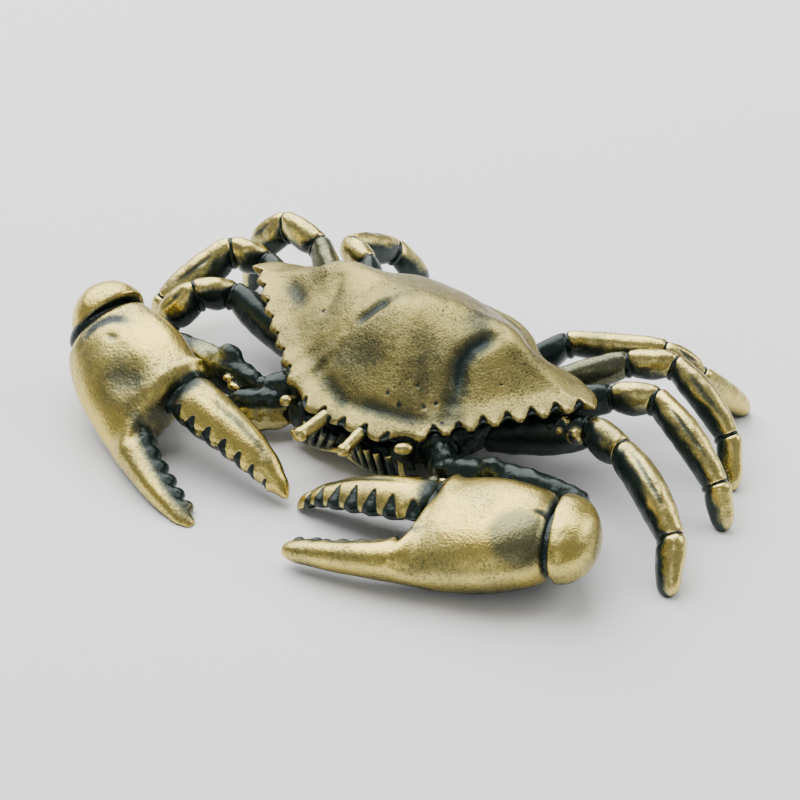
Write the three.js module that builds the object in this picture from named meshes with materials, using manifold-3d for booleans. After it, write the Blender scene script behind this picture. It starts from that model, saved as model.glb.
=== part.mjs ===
import * as THREE from 'three';
import { mergeVertices } from 'three/addons/utils/BufferGeometryUtils.js';
import Module from 'manifold-3d';

// A crab figurine of cast brass. Millimetres; +X is the crab's own left, -Y its front, +Z up.
// The model is drawn round the point on the ground below the middle of the line between the two
// side spines of the shell, and the whole group is moved to stand on its own box at the end.

// Clearances between separate pieces
const jointGap = 0.35;
const socketGap = 0.33;
const shellSeatGap = 0.43;

// Shell
const shellHalfWidth = 20.3;
const shellFrontReach = 12.3;
const shellRearReach = 9.3;
const shellRimThickness = 0.7;
const spineHeight = 9.4;
const shellFrontDrop = 3.3;
const shellRearDrop = 1.0;
const domeRise = 4.4;
const sideToothDepth = 0.9;
const frontToothDepth = 0.4;
const sideToothCount = 6;

// Body under the shell: how far its edge lies in from the shell's, and its height over the ground
const bellySideInset = 7.7;
const bellyFrontInset = 1.4;
const bellyRearInset = 1.8;
const bellyClearance = 1.3;
const tailFlapLength = 12;
const tailFlapWidth = 9;
const tailFlapThickness = 0.6;

// Claws
const clawLength = 25.5;
const palmHeight = 11.9;
const palmThickness = 6.8;
const fingerToothHeight = 0.6;

// Arms, between the body and the wrists
const armHeight = 4.8;
const armThickness = 3.6;

// Walking legs
const legSpan = 20;
const legHeight = 3.9;
const legThickness = 2.8;

// Eyes, feelers and mouth
const eyeLength = 3.2;
const eyeThickness = 1.6;
const feelerLength = 5.2;
const feelerDiameter = 1.3;
const jawWidth = 5;
const jawMarginDrop = 0.95;
const jawBellyRise = 0.15;
const jawThickness = 1.0;

// Counts of flat faces round the rounded pieces
const legSides = 10;
const armSides = 12;
const clawSides = 14;
const bellySides = 28;

const bellyHalfWidth = shellHalfWidth - bellySideInset;
const bellyFront = shellFrontReach - bellyFrontInset;
const bellyRear = shellRearReach - bellyRearInset;
const bellyHalfLength = (bellyFront + bellyRear) / 2;
const bellyFrontShift = (bellyFront - bellyRear) / 2;

const upward = new THREE.Vector3(0, 0, 1);
const leftward = new THREE.Vector3(1, 0, 0);

const polishedBrass = () =>
  new THREE.MeshStandardMaterial({ color: 0xb09a62, roughness: 0.38, metalness: 1 });
const darkenedBrass = () =>
  new THREE.MeshStandardMaterial({ color: 0x4a4c3e, roughness: 0.45, metalness: 1 });

// Closed skins

function signedVolume(positions, faces) {
  const a = new THREE.Vector3();
  const b = new THREE.Vector3();
  const c = new THREE.Vector3();
  let total = 0;
  for (let i = 0; i < faces.length; i += 3) {
    a.fromArray(positions, faces[i] * 3);
    b.fromArray(positions, faces[i + 1] * 3);
    c.fromArray(positions, faces[i + 2] * 3);
    total += a.dot(b.cross(c));
  }
  return total;
}

function turnedOutward(positions, faces) {
  if (signedVolume(positions, faces) >= 0) return faces;
  const turned = [];
  for (let i = 0; i < faces.length; i += 3) turned.push(faces[i], faces[i + 2], faces[i + 1]);
  return turned;
}

function closedGeometry(positions, faces) {
  const geometry = new THREE.BufferGeometry();
  geometry.setAttribute('position', new THREE.Float32BufferAttribute(positions, 3));
  geometry.setIndex(turnedOutward(positions, faces));
  geometry.computeVertexNormals();
  return geometry;
}

// Rings of points joined one to the next; the first and last are single points.
function skin(rings) {
  const positions = [];
  const faces = [];
  const starts = rings.map((ring) => {
    const start = positions.length / 3;
    ring.forEach((point) => positions.push(point.x, point.y, point.z));
    return start;
  });
  for (let i = 0; i < rings.length - 1; i += 1) {
    const count = Math.max(rings[i].length, rings[i + 1].length);
    for (let k = 0; k < count; k += 1) {
      const here = [k % rings[i].length, (k + 1) % rings[i].length].map((n) => n + starts[i]);
      const there = [k % rings[i + 1].length, (k + 1) % rings[i + 1].length]
        .map((n) => n + starts[i + 1]);
      if (here[0] !== here[1]) faces.push(here[0], here[1], there[0]);
      if (there[0] !== there[1]) faces.push(here[1], there[1], there[0]);
    }
  }
  return closedGeometry(positions, faces);
}

function oval(centre, side, top, halfWidth, halfHeight, sides) {
  return Array.from({ length: sides }, (_, k) => {
    const angle = (2 * Math.PI * (k + 0.5)) / sides;
    return centre.clone()
      .addScaledVector(side, halfWidth * Math.cos(angle))
      .addScaledVector(top, halfHeight * Math.sin(angle));
  });
}

function mirrored(geometry) {
  const copy = geometry.clone();
  copy.scale(-1, 1, 1);
  return closedGeometry(Array.from(copy.attributes.position.array), Array.from(copy.index.array));
}

// Cutting one closed skin by others

const wasm = await Module();
wasm.setup();

function solidOf(geometry) {
  const bare = new THREE.BufferGeometry();
  bare.setAttribute('position', geometry.attributes.position.clone());
  bare.setIndex(geometry.index.clone());
  const merged = mergeVertices(bare);
  return new wasm.Manifold(new wasm.Mesh({
    numProp: 3,
    vertProperties: new Float32Array(merged.attributes.position.array),
    triVerts: new Uint32Array(merged.index.array),
  }));
}

function cutBy(geometry, cutters) {
  const cut = cutters.reduce((solid, cutter) => solid.subtract(solidOf(cutter)), solidOf(geometry));
  const mesh = cut.getMesh();
  return closedGeometry(Array.from(mesh.vertProperties), Array.from(mesh.triVerts));
}

// What would reach below the ground is flat on it.
function standing(rings, ground) {
  rings.forEach((ring) => ring.forEach((point) => {
    point.z = Math.max(point.z, ground);
  }));
  return rings;
}

// Limb segments
// A limb runs through joints. At each joint both segments end on the plane that halves the bend:
// the outer segment starts with a low cone that nests in a hollow cone at the end of the inner one.

const seatShare = 0.8;
const nestShare = 0.45;
const shoulderShare = 0.45;

function limbAxes(direction, across) {
  const top = new THREE.Vector3().crossVectors(direction, across).normalize();
  const side = new THREE.Vector3().crossVectors(top, direction).normalize();
  return { side, top };
}

function withMitres(joints) {
  return joints.map((joint, i) => {
    const back = joints[Math.max(i - 1, 0)].place;
    const next = joints[Math.min(i + 1, joints.length - 1)].place;
    const inward = joint.place.clone().sub(back).normalize();
    const outward = next.clone().sub(joint.place).normalize();
    return { ...joint, normal: inward.add(outward).normalize() };
  });
}

// A way of 1 gives the start of a segment, -1 its end.
function endRings(joint, direction, across, way, grow, sides) {
  const { side, top } = limbAxes(joint.normal, across);
  const inset = way * (jointGap / 2 - grow);
  const base = joint.place.clone().addScaledVector(joint.normal, inset);
  const nest = nestShare * Math.min(joint.halfWidth, joint.halfHeight);
  const shoulder = way * shoulderShare * Math.min(joint.halfWidth, joint.halfHeight);
  const leaning = limbAxes(joint.normal.clone().add(direction).normalize(), across);
  return [
    [base.clone().addScaledVector(joint.normal, -nest)],
    oval(base, side, top, joint.halfWidth * seatShare + grow,
      joint.halfHeight * seatShare + grow, sides),
    oval(base.clone().addScaledVector(direction, shoulder), leaning.side, leaning.top,
      joint.halfWidth + grow, joint.halfHeight + grow, sides),
  ];
}

function segment({
  from, to, stationShares, across, sides, halfWidth, halfHeight, bowShare = 0, grow = 0,
}) {
  const direction = to.place.clone().sub(from.place).normalize();
  const { side, top } = limbAxes(direction, across);
  const length = to.place.distanceTo(from.place);
  const start = endRings(from, direction, across, 1, grow, sides);
  const body = stationShares.map(([along, share]) => {
    const arch = bowShare * length * Math.sin(Math.PI * along);
    const centre = from.place.clone().lerp(to.place, along).addScaledVector(top, arch);
    return oval(centre, side, top, halfWidth * share + grow, halfHeight * share + grow, sides);
  });
  const end = to.tip
    ? [[to.place.clone()]]
    : endRings(to, direction, across, -1, grow, sides).reverse();
  return skin(standing([...start, ...body, ...end], 0));
}

// Shell

// The rim falls away to the front and, less, to the rear of the line between the spines.
const rimCurveShare = 1.4;

function rimHeight(y) {
  if (y >= 0) return spineHeight - (shellRearDrop * y) / shellRearReach;
  return spineHeight - shellFrontDrop * (-y / shellFrontReach) ** rimCurveShare;
}

function rimUnderside(y) {
  return rimHeight(y) - shellRimThickness;
}

// Half of the shell's outline, from the middle of the front to the middle of the rear.
// Each row: share of the half width, share of the front or rear reach, and at the front the share
// of the tooth depth by which it stands out.
const frontMarginShares = [
  [0, -1.0, 0.0],
  [0.06, -0.99, 1.0],
  [0.12, -0.985, 0.0],
  [0.18, -0.975, 1.0],
  [0.24, -0.965, 0.3],
];
const orbitShares = [
  [0.27, -0.915],
  [0.33, -0.87],
  [0.375, -0.865],
];
const sideMarginStartShares = [0.4, -0.85];
const sideMarginBulgeShare = 0.02;
const rearMarginShares = [
  [0.955, 0.2],
  [0.9, 0.28],
  [0.82, 0.36],
  [0.7, 0.42],
  [0.59, 0.5],
  [0.51, 0.62],
  [0.44, 0.76],
  [0.35, 0.88],
  [0.22, 0.97],
  [0, 1],
];

function halfOutline() {
  const columns = [];
  frontMarginShares.forEach(([x, y, tooth]) => {
    columns.push({
      place: new THREE.Vector2(x * shellHalfWidth, y * shellFrontReach),
      tooth: new THREE.Vector2(0, -tooth * frontToothDepth),
    });
  });
  orbitShares.forEach(([x, y]) => {
    columns.push({
      place: new THREE.Vector2(x * shellHalfWidth, y * shellFrontReach),
      tooth: new THREE.Vector2(),
    });
  });
  const begin = new THREE.Vector2(
    sideMarginStartShares[0] * shellHalfWidth, sideMarginStartShares[1] * shellFrontReach);
  const finish = new THREE.Vector2(shellHalfWidth, 0);
  const outward = new THREE.Vector2(finish.y - begin.y, begin.x - finish.x).normalize();
  const steps = 2 * (sideToothCount + 1);
  for (let i = 0; i <= steps; i += 1) {
    const share = i / steps;
    const bulge = Math.sin(Math.PI * share) * sideMarginBulgeShare * shellHalfWidth;
    const isTip = i % 2 === 0;
    const valley = begin.clone().lerp(finish, share).addScaledVector(outward, bulge);
    const lean = outward.clone().multiplyScalar(isTip ? sideToothDepth : 0);
    valley.addScaledVector(outward, -sideToothDepth);
    if (i === steps) lean.set(sideToothDepth, sideToothDepth / 2);
    columns.push({ place: i === steps ? finish.clone().sub(lean) : valley, tooth: lean });
  }
  rearMarginShares.forEach(([x, y]) => {
    columns.push({
      place: new THREE.Vector2(x * shellHalfWidth, y * shellRearReach),
      tooth: new THREE.Vector2(),
    });
  });
  return columns;
}

function wholeOutline() {
  const left = halfOutline();
  const flip = (v) => new THREE.Vector2(-v.x, v.y);
  const right = left.slice(1, -1).reverse()
    .map(({ place, tooth }) => ({ place: flip(place), tooth: flip(tooth) }));
  return [...left, ...right];
}

// Swellings and hollows of the shell's top: place and radius as shares of the half width, and
// height as a share of the dome's rise. Each is repeated on the other side.
const swellingShares = [
  { x: 0.0, y: -0.12, radius: 0.2, height: 0.16 },
  { x: 0.46, y: 0.1, radius: 0.22, height: 0.2 },
  { x: 0.3, y: -0.02, radius: 0.1, height: -0.12 },
  { x: 0.2, y: -0.42, radius: 0.12, height: -0.06 },
];
const domeSteepnessShare = 1.75;

function domeHeight(x, y, share) {
  let height = (1 + Math.cos(Math.PI * share ** domeSteepnessShare)) / 2;
  swellingShares.forEach((swelling) => {
    [-1, 1].forEach((way) => {
      const across = x / shellHalfWidth - way * swelling.x;
      const along = y / shellHalfWidth - swelling.y;
      const distance = Math.hypot(across, along) / swelling.radius;
      const half = swelling.x === 0 ? 0.5 : 1;
      height += half * swelling.height * Math.exp(-distance * distance) * (1 - share);
    });
  });
  return domeRise * height;
}

const shellRingShares = [0.2, 0.38, 0.54, 0.68, 0.8, 0.9, 1];
const shellToothShares = [0, 0, 0, 0, 0, 0.3, 1];
const shellUnderShares = [[0.985, 0.8], [0.85, 0], [0.6, 0], [0.3, 0]];
const domeCentreShare = 0.06;

function carapaceGeometry() {
  const outline = wholeOutline();
  const centre = new THREE.Vector2(0, domeCentreShare * shellRearReach);
  const pointAt = ({ place, tooth }, share, toothShare) =>
    centre.clone().lerp(place, share).addScaledVector(tooth, toothShare);
  const topRings = shellRingShares.map((share, i) => outline.map((column) => {
    const flat = pointAt(column, share, shellToothShares[i]);
    return new THREE.Vector3(flat.x, flat.y, rimHeight(flat.y) + domeHeight(flat.x, flat.y, share));
  }));
  const under = (share, toothShare) => outline.map((column) => {
    const flat = pointAt(column, share, toothShare);
    return new THREE.Vector3(flat.x, flat.y, rimUnderside(flat.y));
  });
  const summit = rimHeight(centre.y) + domeHeight(centre.x, centre.y, 0);
  const floor = rimUnderside(centre.y);
  return skin([
    [new THREE.Vector3(centre.x, centre.y, summit)],
    ...topRings,
    ...shellUnderShares.map(([share, toothShare]) => under(share, toothShare)),
    [new THREE.Vector3(centre.x, centre.y, floor)],
  ]);
}

// Body under the shell

const bellyLevelShares = [
  [0, 0.35, 0.35],
  [0, 0.7, 0.7],
  [0, 0.94, 0.94],
  [0.12, 1, 1],
  [0.45, 0.98, 1],
  [0.78, 0.86, 0.95],
  [0.94, 0.68, 0.84],
  [1, 0.5, 0.68],
];
const bellyCornerShare = 0.75;

function bellyTop(y) {
  return rimUnderside(y) - shellSeatGap;
}

function bellyRings(grow) {
  const round = (value) => Math.sign(value) * Math.abs(value) ** bellyCornerShare;
  const rings = bellyLevelShares.map(([level, widthShare, lengthShare]) =>
    Array.from({ length: bellySides }, (_, k) => {
      const angle = (2 * Math.PI * (k + 0.5)) / bellySides;
      const x = (bellyHalfWidth * widthShare + grow) * round(Math.cos(angle));
      const y = (bellyHalfLength * lengthShare + grow) * round(Math.sin(angle)) - bellyFrontShift;
      const z = THREE.MathUtils.lerp(bellyTop(y) + grow, bellyClearance - grow, level);
      return new THREE.Vector3(x, y, z);
    }));
  return [
    [new THREE.Vector3(0, -bellyFrontShift, bellyTop(-bellyFrontShift) + grow)],
    ...rings,
    [new THREE.Vector3(0, -bellyFrontShift, bellyClearance - grow)],
  ];
}

// A point that hangs below the level of the shell's underside.
function hangingAt({ x, y }, drop) {
  return new THREE.Vector3(x, y, rimUnderside(y) - drop);
}

// A joint on the body, in shares of its half width and half length and of a limb's height.
function placeOnBody([x, y, dropShare], limbHeight) {
  const flat = new THREE.Vector2(x * bellyHalfWidth, y * bellyHalfLength - bellyFrontShift);
  return hangingAt(flat, dropShare * limbHeight);
}

// Walking legs
// The hip lies in shares of the body's half width and half length. The knee, the shin joint, the
// toe joint and the toe's tip are measured from the hip in shares of the leg span. Hip and knee
// hang below the level of the shell's underside by a share of the leg height. The next two lie at
// shares of the spines' height, and the tip stands on the ground. The size is a share of the full
// leg height and thickness, and the bow is how far the shin arches, as a share of its length.
const legShares = {
  left_leg_1: {
    hipShares: [0.857, -0.25, 0.978],
    kneeShares: [0.465, 0.2, 0.616],
    jointShares: [[0.685, 0.14, 0.702], [1.13, -0.12, 0.404], [1.225, -0.29]],
    sizeShare: 1.08,
    bowShare: 0.07,
  },
  left_leg_2: {
    hipShares: [0.905, 0.141, 0.941],
    kneeShares: [0.395, 0.27, 0.297],
    jointShares: [[0.605, 0.335, 0.83], [1.06, 0.155, 0.426], [1.15, 0.1]],
    sizeShare: 0.9,
    bowShare: 0.05,
  },
  left_leg_3: {
    hipShares: [0.857, 0.489, 0.821],
    kneeShares: [0.365, 0.345, -0.037],
    jointShares: [[0.57, 0.44, 0.872], [0.945, 0.34, 0.447], [1.05, 0.225]],
    sizeShare: 0.82,
    bowShare: 0.05,
  },
  left_leg_4: {
    hipShares: [0.651, 0.728, 0.76],
    kneeShares: [0.135, 0.26, 0.18],
    jointShares: [[0.58, 0.42, 0.83], [0.76, 0.47, 0.617], [0.91, 0.7]],
    sizeShare: 0.8,
    bowShare: 0,
    paddle: true,
  },
  right_leg_1: {
    hipShares: [-0.857, -0.25, 0.978],
    kneeShares: [-0.52, 0.1, 0.472],
    jointShares: [[-0.66, -0.02, 0.745], [-0.77, -0.14, 0.426], [-0.81, -0.22]],
    sizeShare: 0.95,
    bowShare: 0,
  },
  right_leg_2: {
    hipShares: [-0.905, 0.141, 0.941],
    kneeShares: [-0.52, 0.215, 0.328],
    jointShares: [[-0.68, 0.15, 0.851], [-0.85, -0.165, 0.426], [-0.88, -0.22]],
    sizeShare: 0.95,
    bowShare: 0,
  },
  right_leg_3: {
    hipShares: [-0.857, 0.489, 0.821],
    kneeShares: [-0.36, 0.26, -0.145],
    jointShares: [[-0.6, 0.305, 0.915], [-0.75, 0.245, 0.532], [-0.79, 0.22]],
    sizeShare: 0.9,
    bowShare: 0.03,
  },
  right_leg_4: {
    hipShares: [-0.651, 0.728, 0.76],
    kneeShares: [-0.235, 0.225, 0.072],
    jointShares: [[-0.41, 0.295, 0.766], [-0.33, 0.58, 0.479], [-0.22, 0.7]],
    sizeShare: 0.85,
    bowShare: 0,
    paddle: true,
  },
};
const legPieces = ['thigh', 'knee', 'shin', 'toe'];
const legJointShares = [0.76, 0.82, 0.81, 0.75];
const legStationShares = {
  thigh: [[0.35, 0.92], [0.68, 0.98]],
  knee: [[0.5, 0.94]],
  shin: [[0.25, 0.92], [0.5, 0.96], [0.78, 0.88]],
  toe: [[0.32, 0.74], [0.6, 0.67], [0.84, 0.52], [0.95, 0.3]],
  paddle: [[0.3, 0.84], [0.6, 0.86], [0.85, 0.66], [0.96, 0.36]],
};

function legSegments({ hipShares, kneeShares, jointShares, sizeShare, bowShare, paddle = false }) {
  const halfWidth = (sizeShare * legThickness) / 2;
  const halfHeight = (sizeShare * legHeight) / 2;
  const hip = placeOnBody(hipShares, legHeight);
  const outFromHip = ([x, y]) => new THREE.Vector2(hip.x + x * legSpan, hip.y + y * legSpan);
  const knee = hangingAt(outFromHip(kneeShares), kneeShares[2] * legHeight);
  const places = [hip, knee, ...jointShares.map(([x, y, z = 0]) => {
    const flat = outFromHip([x, y]);
    return new THREE.Vector3(flat.x, flat.y, z * spineHeight);
  })];
  const joints = withMitres(places.map((place, i) => ({
    place,
    tip: i === places.length - 1,
    halfWidth: halfWidth * (legJointShares[i] ?? 0),
    halfHeight: halfHeight * (legJointShares[i] ?? 0),
  })));
  const reach = joints[joints.length - 1].place.clone().sub(joints[0].place);
  const across = new THREE.Vector3().crossVectors(upward, reach).normalize();
  return legPieces.map((piece, i) => ({
    piece,
    from: joints[i],
    to: joints[i + 1],
    stationShares: legStationShares[paddle && piece === 'toe' ? 'paddle' : piece],
    across,
    sides: legSides,
    halfWidth,
    halfHeight,
    bowShare: piece === 'shin' ? bowShare : 0,
  }));
}

// Claws and arms
// A claw is drawn in its own plane, round the middle of the wrist joint: one direction runs from
// the wrist to the finger tips, one from the movable finger's side to the fixed finger's side,
// and one out of the broad upper face. The right claw is drawn as a left one and mirrored.
// The wrist lies a share of the claw's length to the side, and shares of the palm's height in front
// of the shell and above the ground. The elbow is measured from the wrist: to the side and behind
// it in shares of the palm's height, and above it in shares of the palm's thickness. Heading, fall
// and roll turn the claw, and the gape opens the movable finger, in degrees.
// The tuck draws the outer edge of the wrist in behind the palm, in shares of the palm's height.

const clawPoses = {
  left: {
    wristPlaceShares: [1.0039, 0.2437, 0.4403],
    elbowShares: [-0.0168, 0.4705, -0.0795],
    heading: 199.4,
    fall: 10,
    roll: 14,
    gape: 1,
    tuckShare: 0,
  },
  right: {
    wristPlaceShares: [1.0667, 0.2689, 0.563],
    elbowShares: [-0.084, 0.3109, -0.3971],
    heading: 201.5,
    fall: 15.5,
    roll: 31.5,
    gape: 6.5,
    tuckShare: 0.16,
  },
};

function wristPlace({ wristPlaceShares: [aside, ahead, above] }) {
  return new THREE.Vector3(
    aside * clawLength, -shellFrontReach - ahead * palmHeight, above * palmHeight);
}

function elbowPlace(pose) {
  const [aside, behind, above] = pose.elbowShares;
  return wristPlace(pose).add(new THREE.Vector3(
    aside * palmHeight, armThickness / 2 + behind * palmHeight, above * palmThickness));
}

const armJointShares = [[0.6349, -0.7283, 0.5761], [0.8889, -0.9239, 0.4502]];
const armJointSizeShares = [0.85, 0.72, 0.62];
const armStationShares = [
  [[0.55, 0.86]],
  [[0.25, 0.95], [0.55, 1], [0.82, 0.8]],
];

function armSegments(pose) {
  const places = [
    ...armJointShares.map((shares) => placeOnBody(shares, armHeight)),
    elbowPlace(pose),
  ];
  const joints = withMitres(places.map((place, i) => ({
    place,
    halfWidth: (armThickness / 2) * armJointSizeShares[i],
    halfHeight: (armHeight / 2) * armJointSizeShares[i],
  })));
  const reach = joints[joints.length - 1].place.clone().sub(joints[0].place);
  const across = new THREE.Vector3().crossVectors(upward, reach).normalize();
  return armStationShares.map((stationShares, i) => ({
    from: joints[i],
    to: joints[i + 1],
    stationShares,
    across,
    sides: armSides,
    halfWidth: armThickness / 2,
    halfHeight: armHeight / 2,
  }));
}

function clawAxes(pose) {
  const heading = THREE.MathUtils.degToRad(pose.heading);
  const fall = THREE.MathUtils.degToRad(pose.fall);
  const roll = THREE.MathUtils.degToRad(pose.roll);
  const along = new THREE.Vector3(
    Math.cos(heading) * Math.cos(fall), Math.sin(heading) * Math.cos(fall), -Math.sin(fall));
  const level = new THREE.Vector3().crossVectors(along, upward).negate().normalize();
  const crown = new THREE.Vector3().crossVectors(level, along).negate().normalize();
  return {
    along,
    outer: level.clone().multiplyScalar(Math.cos(roll)).addScaledVector(crown, -Math.sin(roll)),
    face: crown.clone().multiplyScalar(Math.cos(roll)).addScaledVector(level, Math.sin(roll)),
  };
}

// A row gives where the section's inner edge lies (share of the claw's length, share of the
// palm's height), the same for its outer edge, its lift and its thickness (shares of the palm's).
// A tooth pushes out the edge on the side that its sign names. The lower face is the fuller one.
const toothBreadthShare = 0.6;
const lowerFullnessShare = 1.4;

function clawRing(axes, [innerAlong, innerAcross, outerAlong, outerAcross, lift, thick], tooth = 0) {
  const spot = (alongShare, acrossShare) => new THREE.Vector3()
    .addScaledVector(axes.along, alongShare * clawLength)
    .addScaledVector(axes.outer, acrossShare * palmHeight)
    .addScaledVector(axes.face, lift * palmThickness);
  const inner = spot(innerAlong, innerAcross);
  const outer = spot(outerAlong, outerAcross);
  const centre = inner.clone().add(outer).multiplyScalar(0.5);
  const reach = outer.clone().sub(inner).multiplyScalar(0.5);
  const bite = reach.clone().normalize();
  return Array.from({ length: clawSides }, (_, k) => {
    const angle = (2 * Math.PI * k) / clawSides;
    const facing = Math.cos(angle) * Math.sign(tooth);
    const edge = Math.max(0, facing - 1 + toothBreadthShare) / toothBreadthShare;
    const rise = Math.sin(angle) * (Math.sin(angle) < 0 ? lowerFullnessShare : 1);
    return centre.clone()
      .addScaledVector(reach, Math.cos(angle))
      .addScaledVector(axes.face, (thick * palmThickness * rise) / 2)
      .addScaledVector(bite, tooth * edge);
  });
}

function clawPoint(axes, row) {
  const ring = clawRing(axes, row);
  const middle = new THREE.Vector3();
  ring.forEach((point) => middle.addScaledVector(point, 1 / ring.length));
  return [middle];
}

function rowBetween(rows, share) {
  const spot = share * (rows.length - 1);
  const i = Math.min(Math.floor(spot), rows.length - 2);
  return rows[i].map((value, n) => THREE.MathUtils.lerp(value, rows[i + 1][n], spot - i));
}

// The teeth grow smaller towards the tip. A way of -1 puts them on the inner side, 1 on the outer.
function toothedRings(axes, rows, count, way) {
  return Array.from({ length: 2 * count + 1 }, (_, i) => {
    const share = i / (2 * count);
    const height = i % 2 === 1 ? fingerToothHeight * (1 - share / 2) : 0;
    return clawRing(axes, rowBetween(rows, share), way * height);
  });
}

const palmRearShares = [
  [-0.05, -0.08, -0.05, 0.0, 0.02, 0.02],
  [-0.035, -0.26, -0.035, 0.14, 0.02, 0.45],
  [-0.005, -0.41, -0.005, 0.27, 0.02, 0.74],
];
const palmBodyShares = [
  [0.04, -0.47, 0.04, 0.35, 0.03, 0.9],
  [0.16, -0.54, 0.16, 0.43, 0.04, 1.0],
  [0.28, -0.56, 0.29, 0.465, 0.05, 1.0],
  [0.375, -0.565, 0.41, 0.47, 0.06, 0.9],
  [0.405, -0.53, 0.46, 0.47, 0.08, 0.76],
];
const fixedFingerShares = [
  [0.5, 0.11, 0.53, 0.465, 0.16, 0.56],
  [0.6, 0.16, 0.63, 0.45, 0.19, 0.48],
  [0.7, 0.18, 0.73, 0.43, 0.21, 0.42],
  [0.8, 0.19, 0.82, 0.4, 0.22, 0.36],
  [0.9, 0.19, 0.92, 0.36, 0.22, 0.28],
];
const fixedFingerEndShares = [
  [0.945, 0.2, 0.955, 0.33, 0.22, 0.18],
  [0.97, 0.25, 0.97, 0.29, 0.22, 0.02],
];
const fixedFingerTeeth = 6;

function palmGeometry(pose) {
  const axes = clawAxes(pose);
  return skin(standing([
    clawPoint(axes, palmRearShares[0]),
    ...palmRearShares.slice(1).map((row) => clawRing(axes, row)),
    ...palmBodyShares.map((row) => clawRing(axes, row)),
    ...toothedRings(axes, fixedFingerShares, fixedFingerTeeth, -1),
    clawRing(axes, fixedFingerEndShares[0]),
    clawPoint(axes, fixedFingerEndShares[1]),
  ], -wristPlace(pose).z));
}

// The upper arm is cut back where the inner edge of the palm passes it. A cutter that is set back
// goes a little further than the gap, because it meets the rounded faces at a slant.
const setBackShare = 1.15;

function palmPassage(pose) {
  const axes = clawAxes(pose);
  const place = wristPlace(pose).addScaledVector(axes.outer, -jointGap * setBackShare);
  return skin([
    clawPoint(axes, palmRearShares[0]),
    ...palmRearShares.slice(1).map((row) => clawRing(axes, row)),
    ...palmBodyShares.slice(0, -1).map((row) => clawRing(axes, row)),
    clawPoint(axes, palmBodyShares[palmBodyShares.length - 1]),
  ]).translate(place.x, place.y, place.z);
}

const movableFingerRootShares = [
  [0.447, -0.36, 0.467, -0.16, 0.08, 0.02],
  [0.442, -0.47, 0.487, -0.1, 0.07, 0.5],
];
const movableFingerShares = [
  [0.48, -0.52, 0.54, -0.1, 0.06, 0.6],
  [0.58, -0.54, 0.61, -0.15, 0.06, 0.58],
  [0.69, -0.55, 0.71, -0.19, 0.05, 0.5],
  [0.81, -0.54, 0.82, -0.23, 0.0, 0.44],
  [0.92, -0.5, 0.91, -0.26, -0.08, 0.36],
  [1.0, -0.43, 0.985, -0.28, -0.18, 0.26],
];
const movableFingerEndShares = [
  [1.025, -0.38, 1.01, -0.29, -0.23, 0.17],
  [1.04, -0.35, 1.035, -0.32, -0.25, 0.02],
];
const movableFingerTeeth = 7;
const knuckleShares = [0.45, -0.42];

function movableFingerGeometry(pose) {
  const axes = clawAxes(pose);
  const knuckle = new THREE.Vector3()
    .addScaledVector(axes.along, knuckleShares[0] * clawLength)
    .addScaledVector(axes.outer, knuckleShares[1] * palmHeight);
  const gape = THREE.MathUtils.degToRad(pose.gape);
  const rings = [
    clawPoint(axes, movableFingerRootShares[0]),
    clawRing(axes, movableFingerRootShares[1]),
    ...toothedRings(axes, movableFingerShares, movableFingerTeeth, 1),
    clawRing(axes, movableFingerEndShares[0]),
    clawPoint(axes, movableFingerEndShares[1]),
  ];
  rings.forEach((ring) => ring.forEach((point) => {
    point.sub(knuckle).applyAxisAngle(axes.face, -gape).add(knuckle);
  }));
  return skin(standing(rings, -wristPlace(pose).z));
}

// The wrist is a cap with a hollow front that follows the rounded rear of the palm.
const wristShares = [
  [-0.19, -0.1, -0.19, 0.02, 0.02, 0.02],
  [-0.178, -0.24, -0.178, 0.12, 0.02, 0.42],
  [-0.14, -0.37, -0.14, 0.25, 0.02, 0.7],
  [-0.085, -0.44, -0.085, 0.33, 0.02, 0.86],
  [-0.03, -0.46, -0.03, 0.34, 0.02, 0.88],
];
const wristFrontShares = [-0.03, -0.08, -0.03, 0.0, 0.02, 0.02];
const innerTuckShare = 0.2;

function wristGeometry(pose, cutters) {
  const axes = clawAxes(pose);
  const tucked = ([innerAlong, innerAcross, outerAlong, outerAcross, ...rest]) =>
    [innerAlong, innerAcross - innerTuckShare * pose.tuckShare,
      outerAlong, outerAcross - pose.tuckShare, ...rest];
  const setBack = axes.along.clone().multiplyScalar(-jointGap * setBackShare);
  const hollow = skin([
    clawPoint(axes, palmRearShares[0]),
    ...palmRearShares.slice(1).map((row) => clawRing(axes, row)),
    ...palmBodyShares.slice(0, 2).map((row) => clawRing(axes, row)),
    clawPoint(axes, palmBodyShares[2]),
  ]).translate(setBack.x, setBack.y, setBack.z);
  return cutBy(skin([
    clawPoint(axes, tucked(wristShares[0])),
    ...wristShares.slice(1).map((row) => clawRing(axes, tucked(row))),
    clawPoint(axes, tucked(wristFrontShares)),
  ]), [hollow, ...cutters]);
}

// Eyes and feelers: stalks that stand out of the front of the body, under the shell's margin.
// A root lies in shares of the shell's half width and of the body's reach to the front, and below
// the margin by a share of the stalk's thickness.

function frontMarginUnderside() {
  return rimUnderside(-shellFrontReach);
}

const eyeStalk = {
  rootShares: [0.29, -0.8971, 0.1144],
  direction: new THREE.Vector3(0.45, -0.89, 0.03),
  length: eyeLength,
  thickness: eyeThickness,
  stationShares: [[0.2, 0.5], [0.45, 0.55], [0.62, 1], [0.82, 1]],
};
const feelerStalk = {
  rootShares: [0.03, -0.9366, 0.8783],
  direction: new THREE.Vector3(0.31, -0.94, 0.11),
  length: feelerLength,
  thickness: feelerDiameter,
  stationShares: [[0.1, 0.84], [0.3, 0.84], [0.78, 0.84], [0.86, 1], [0.95, 0.8]],
};

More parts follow.
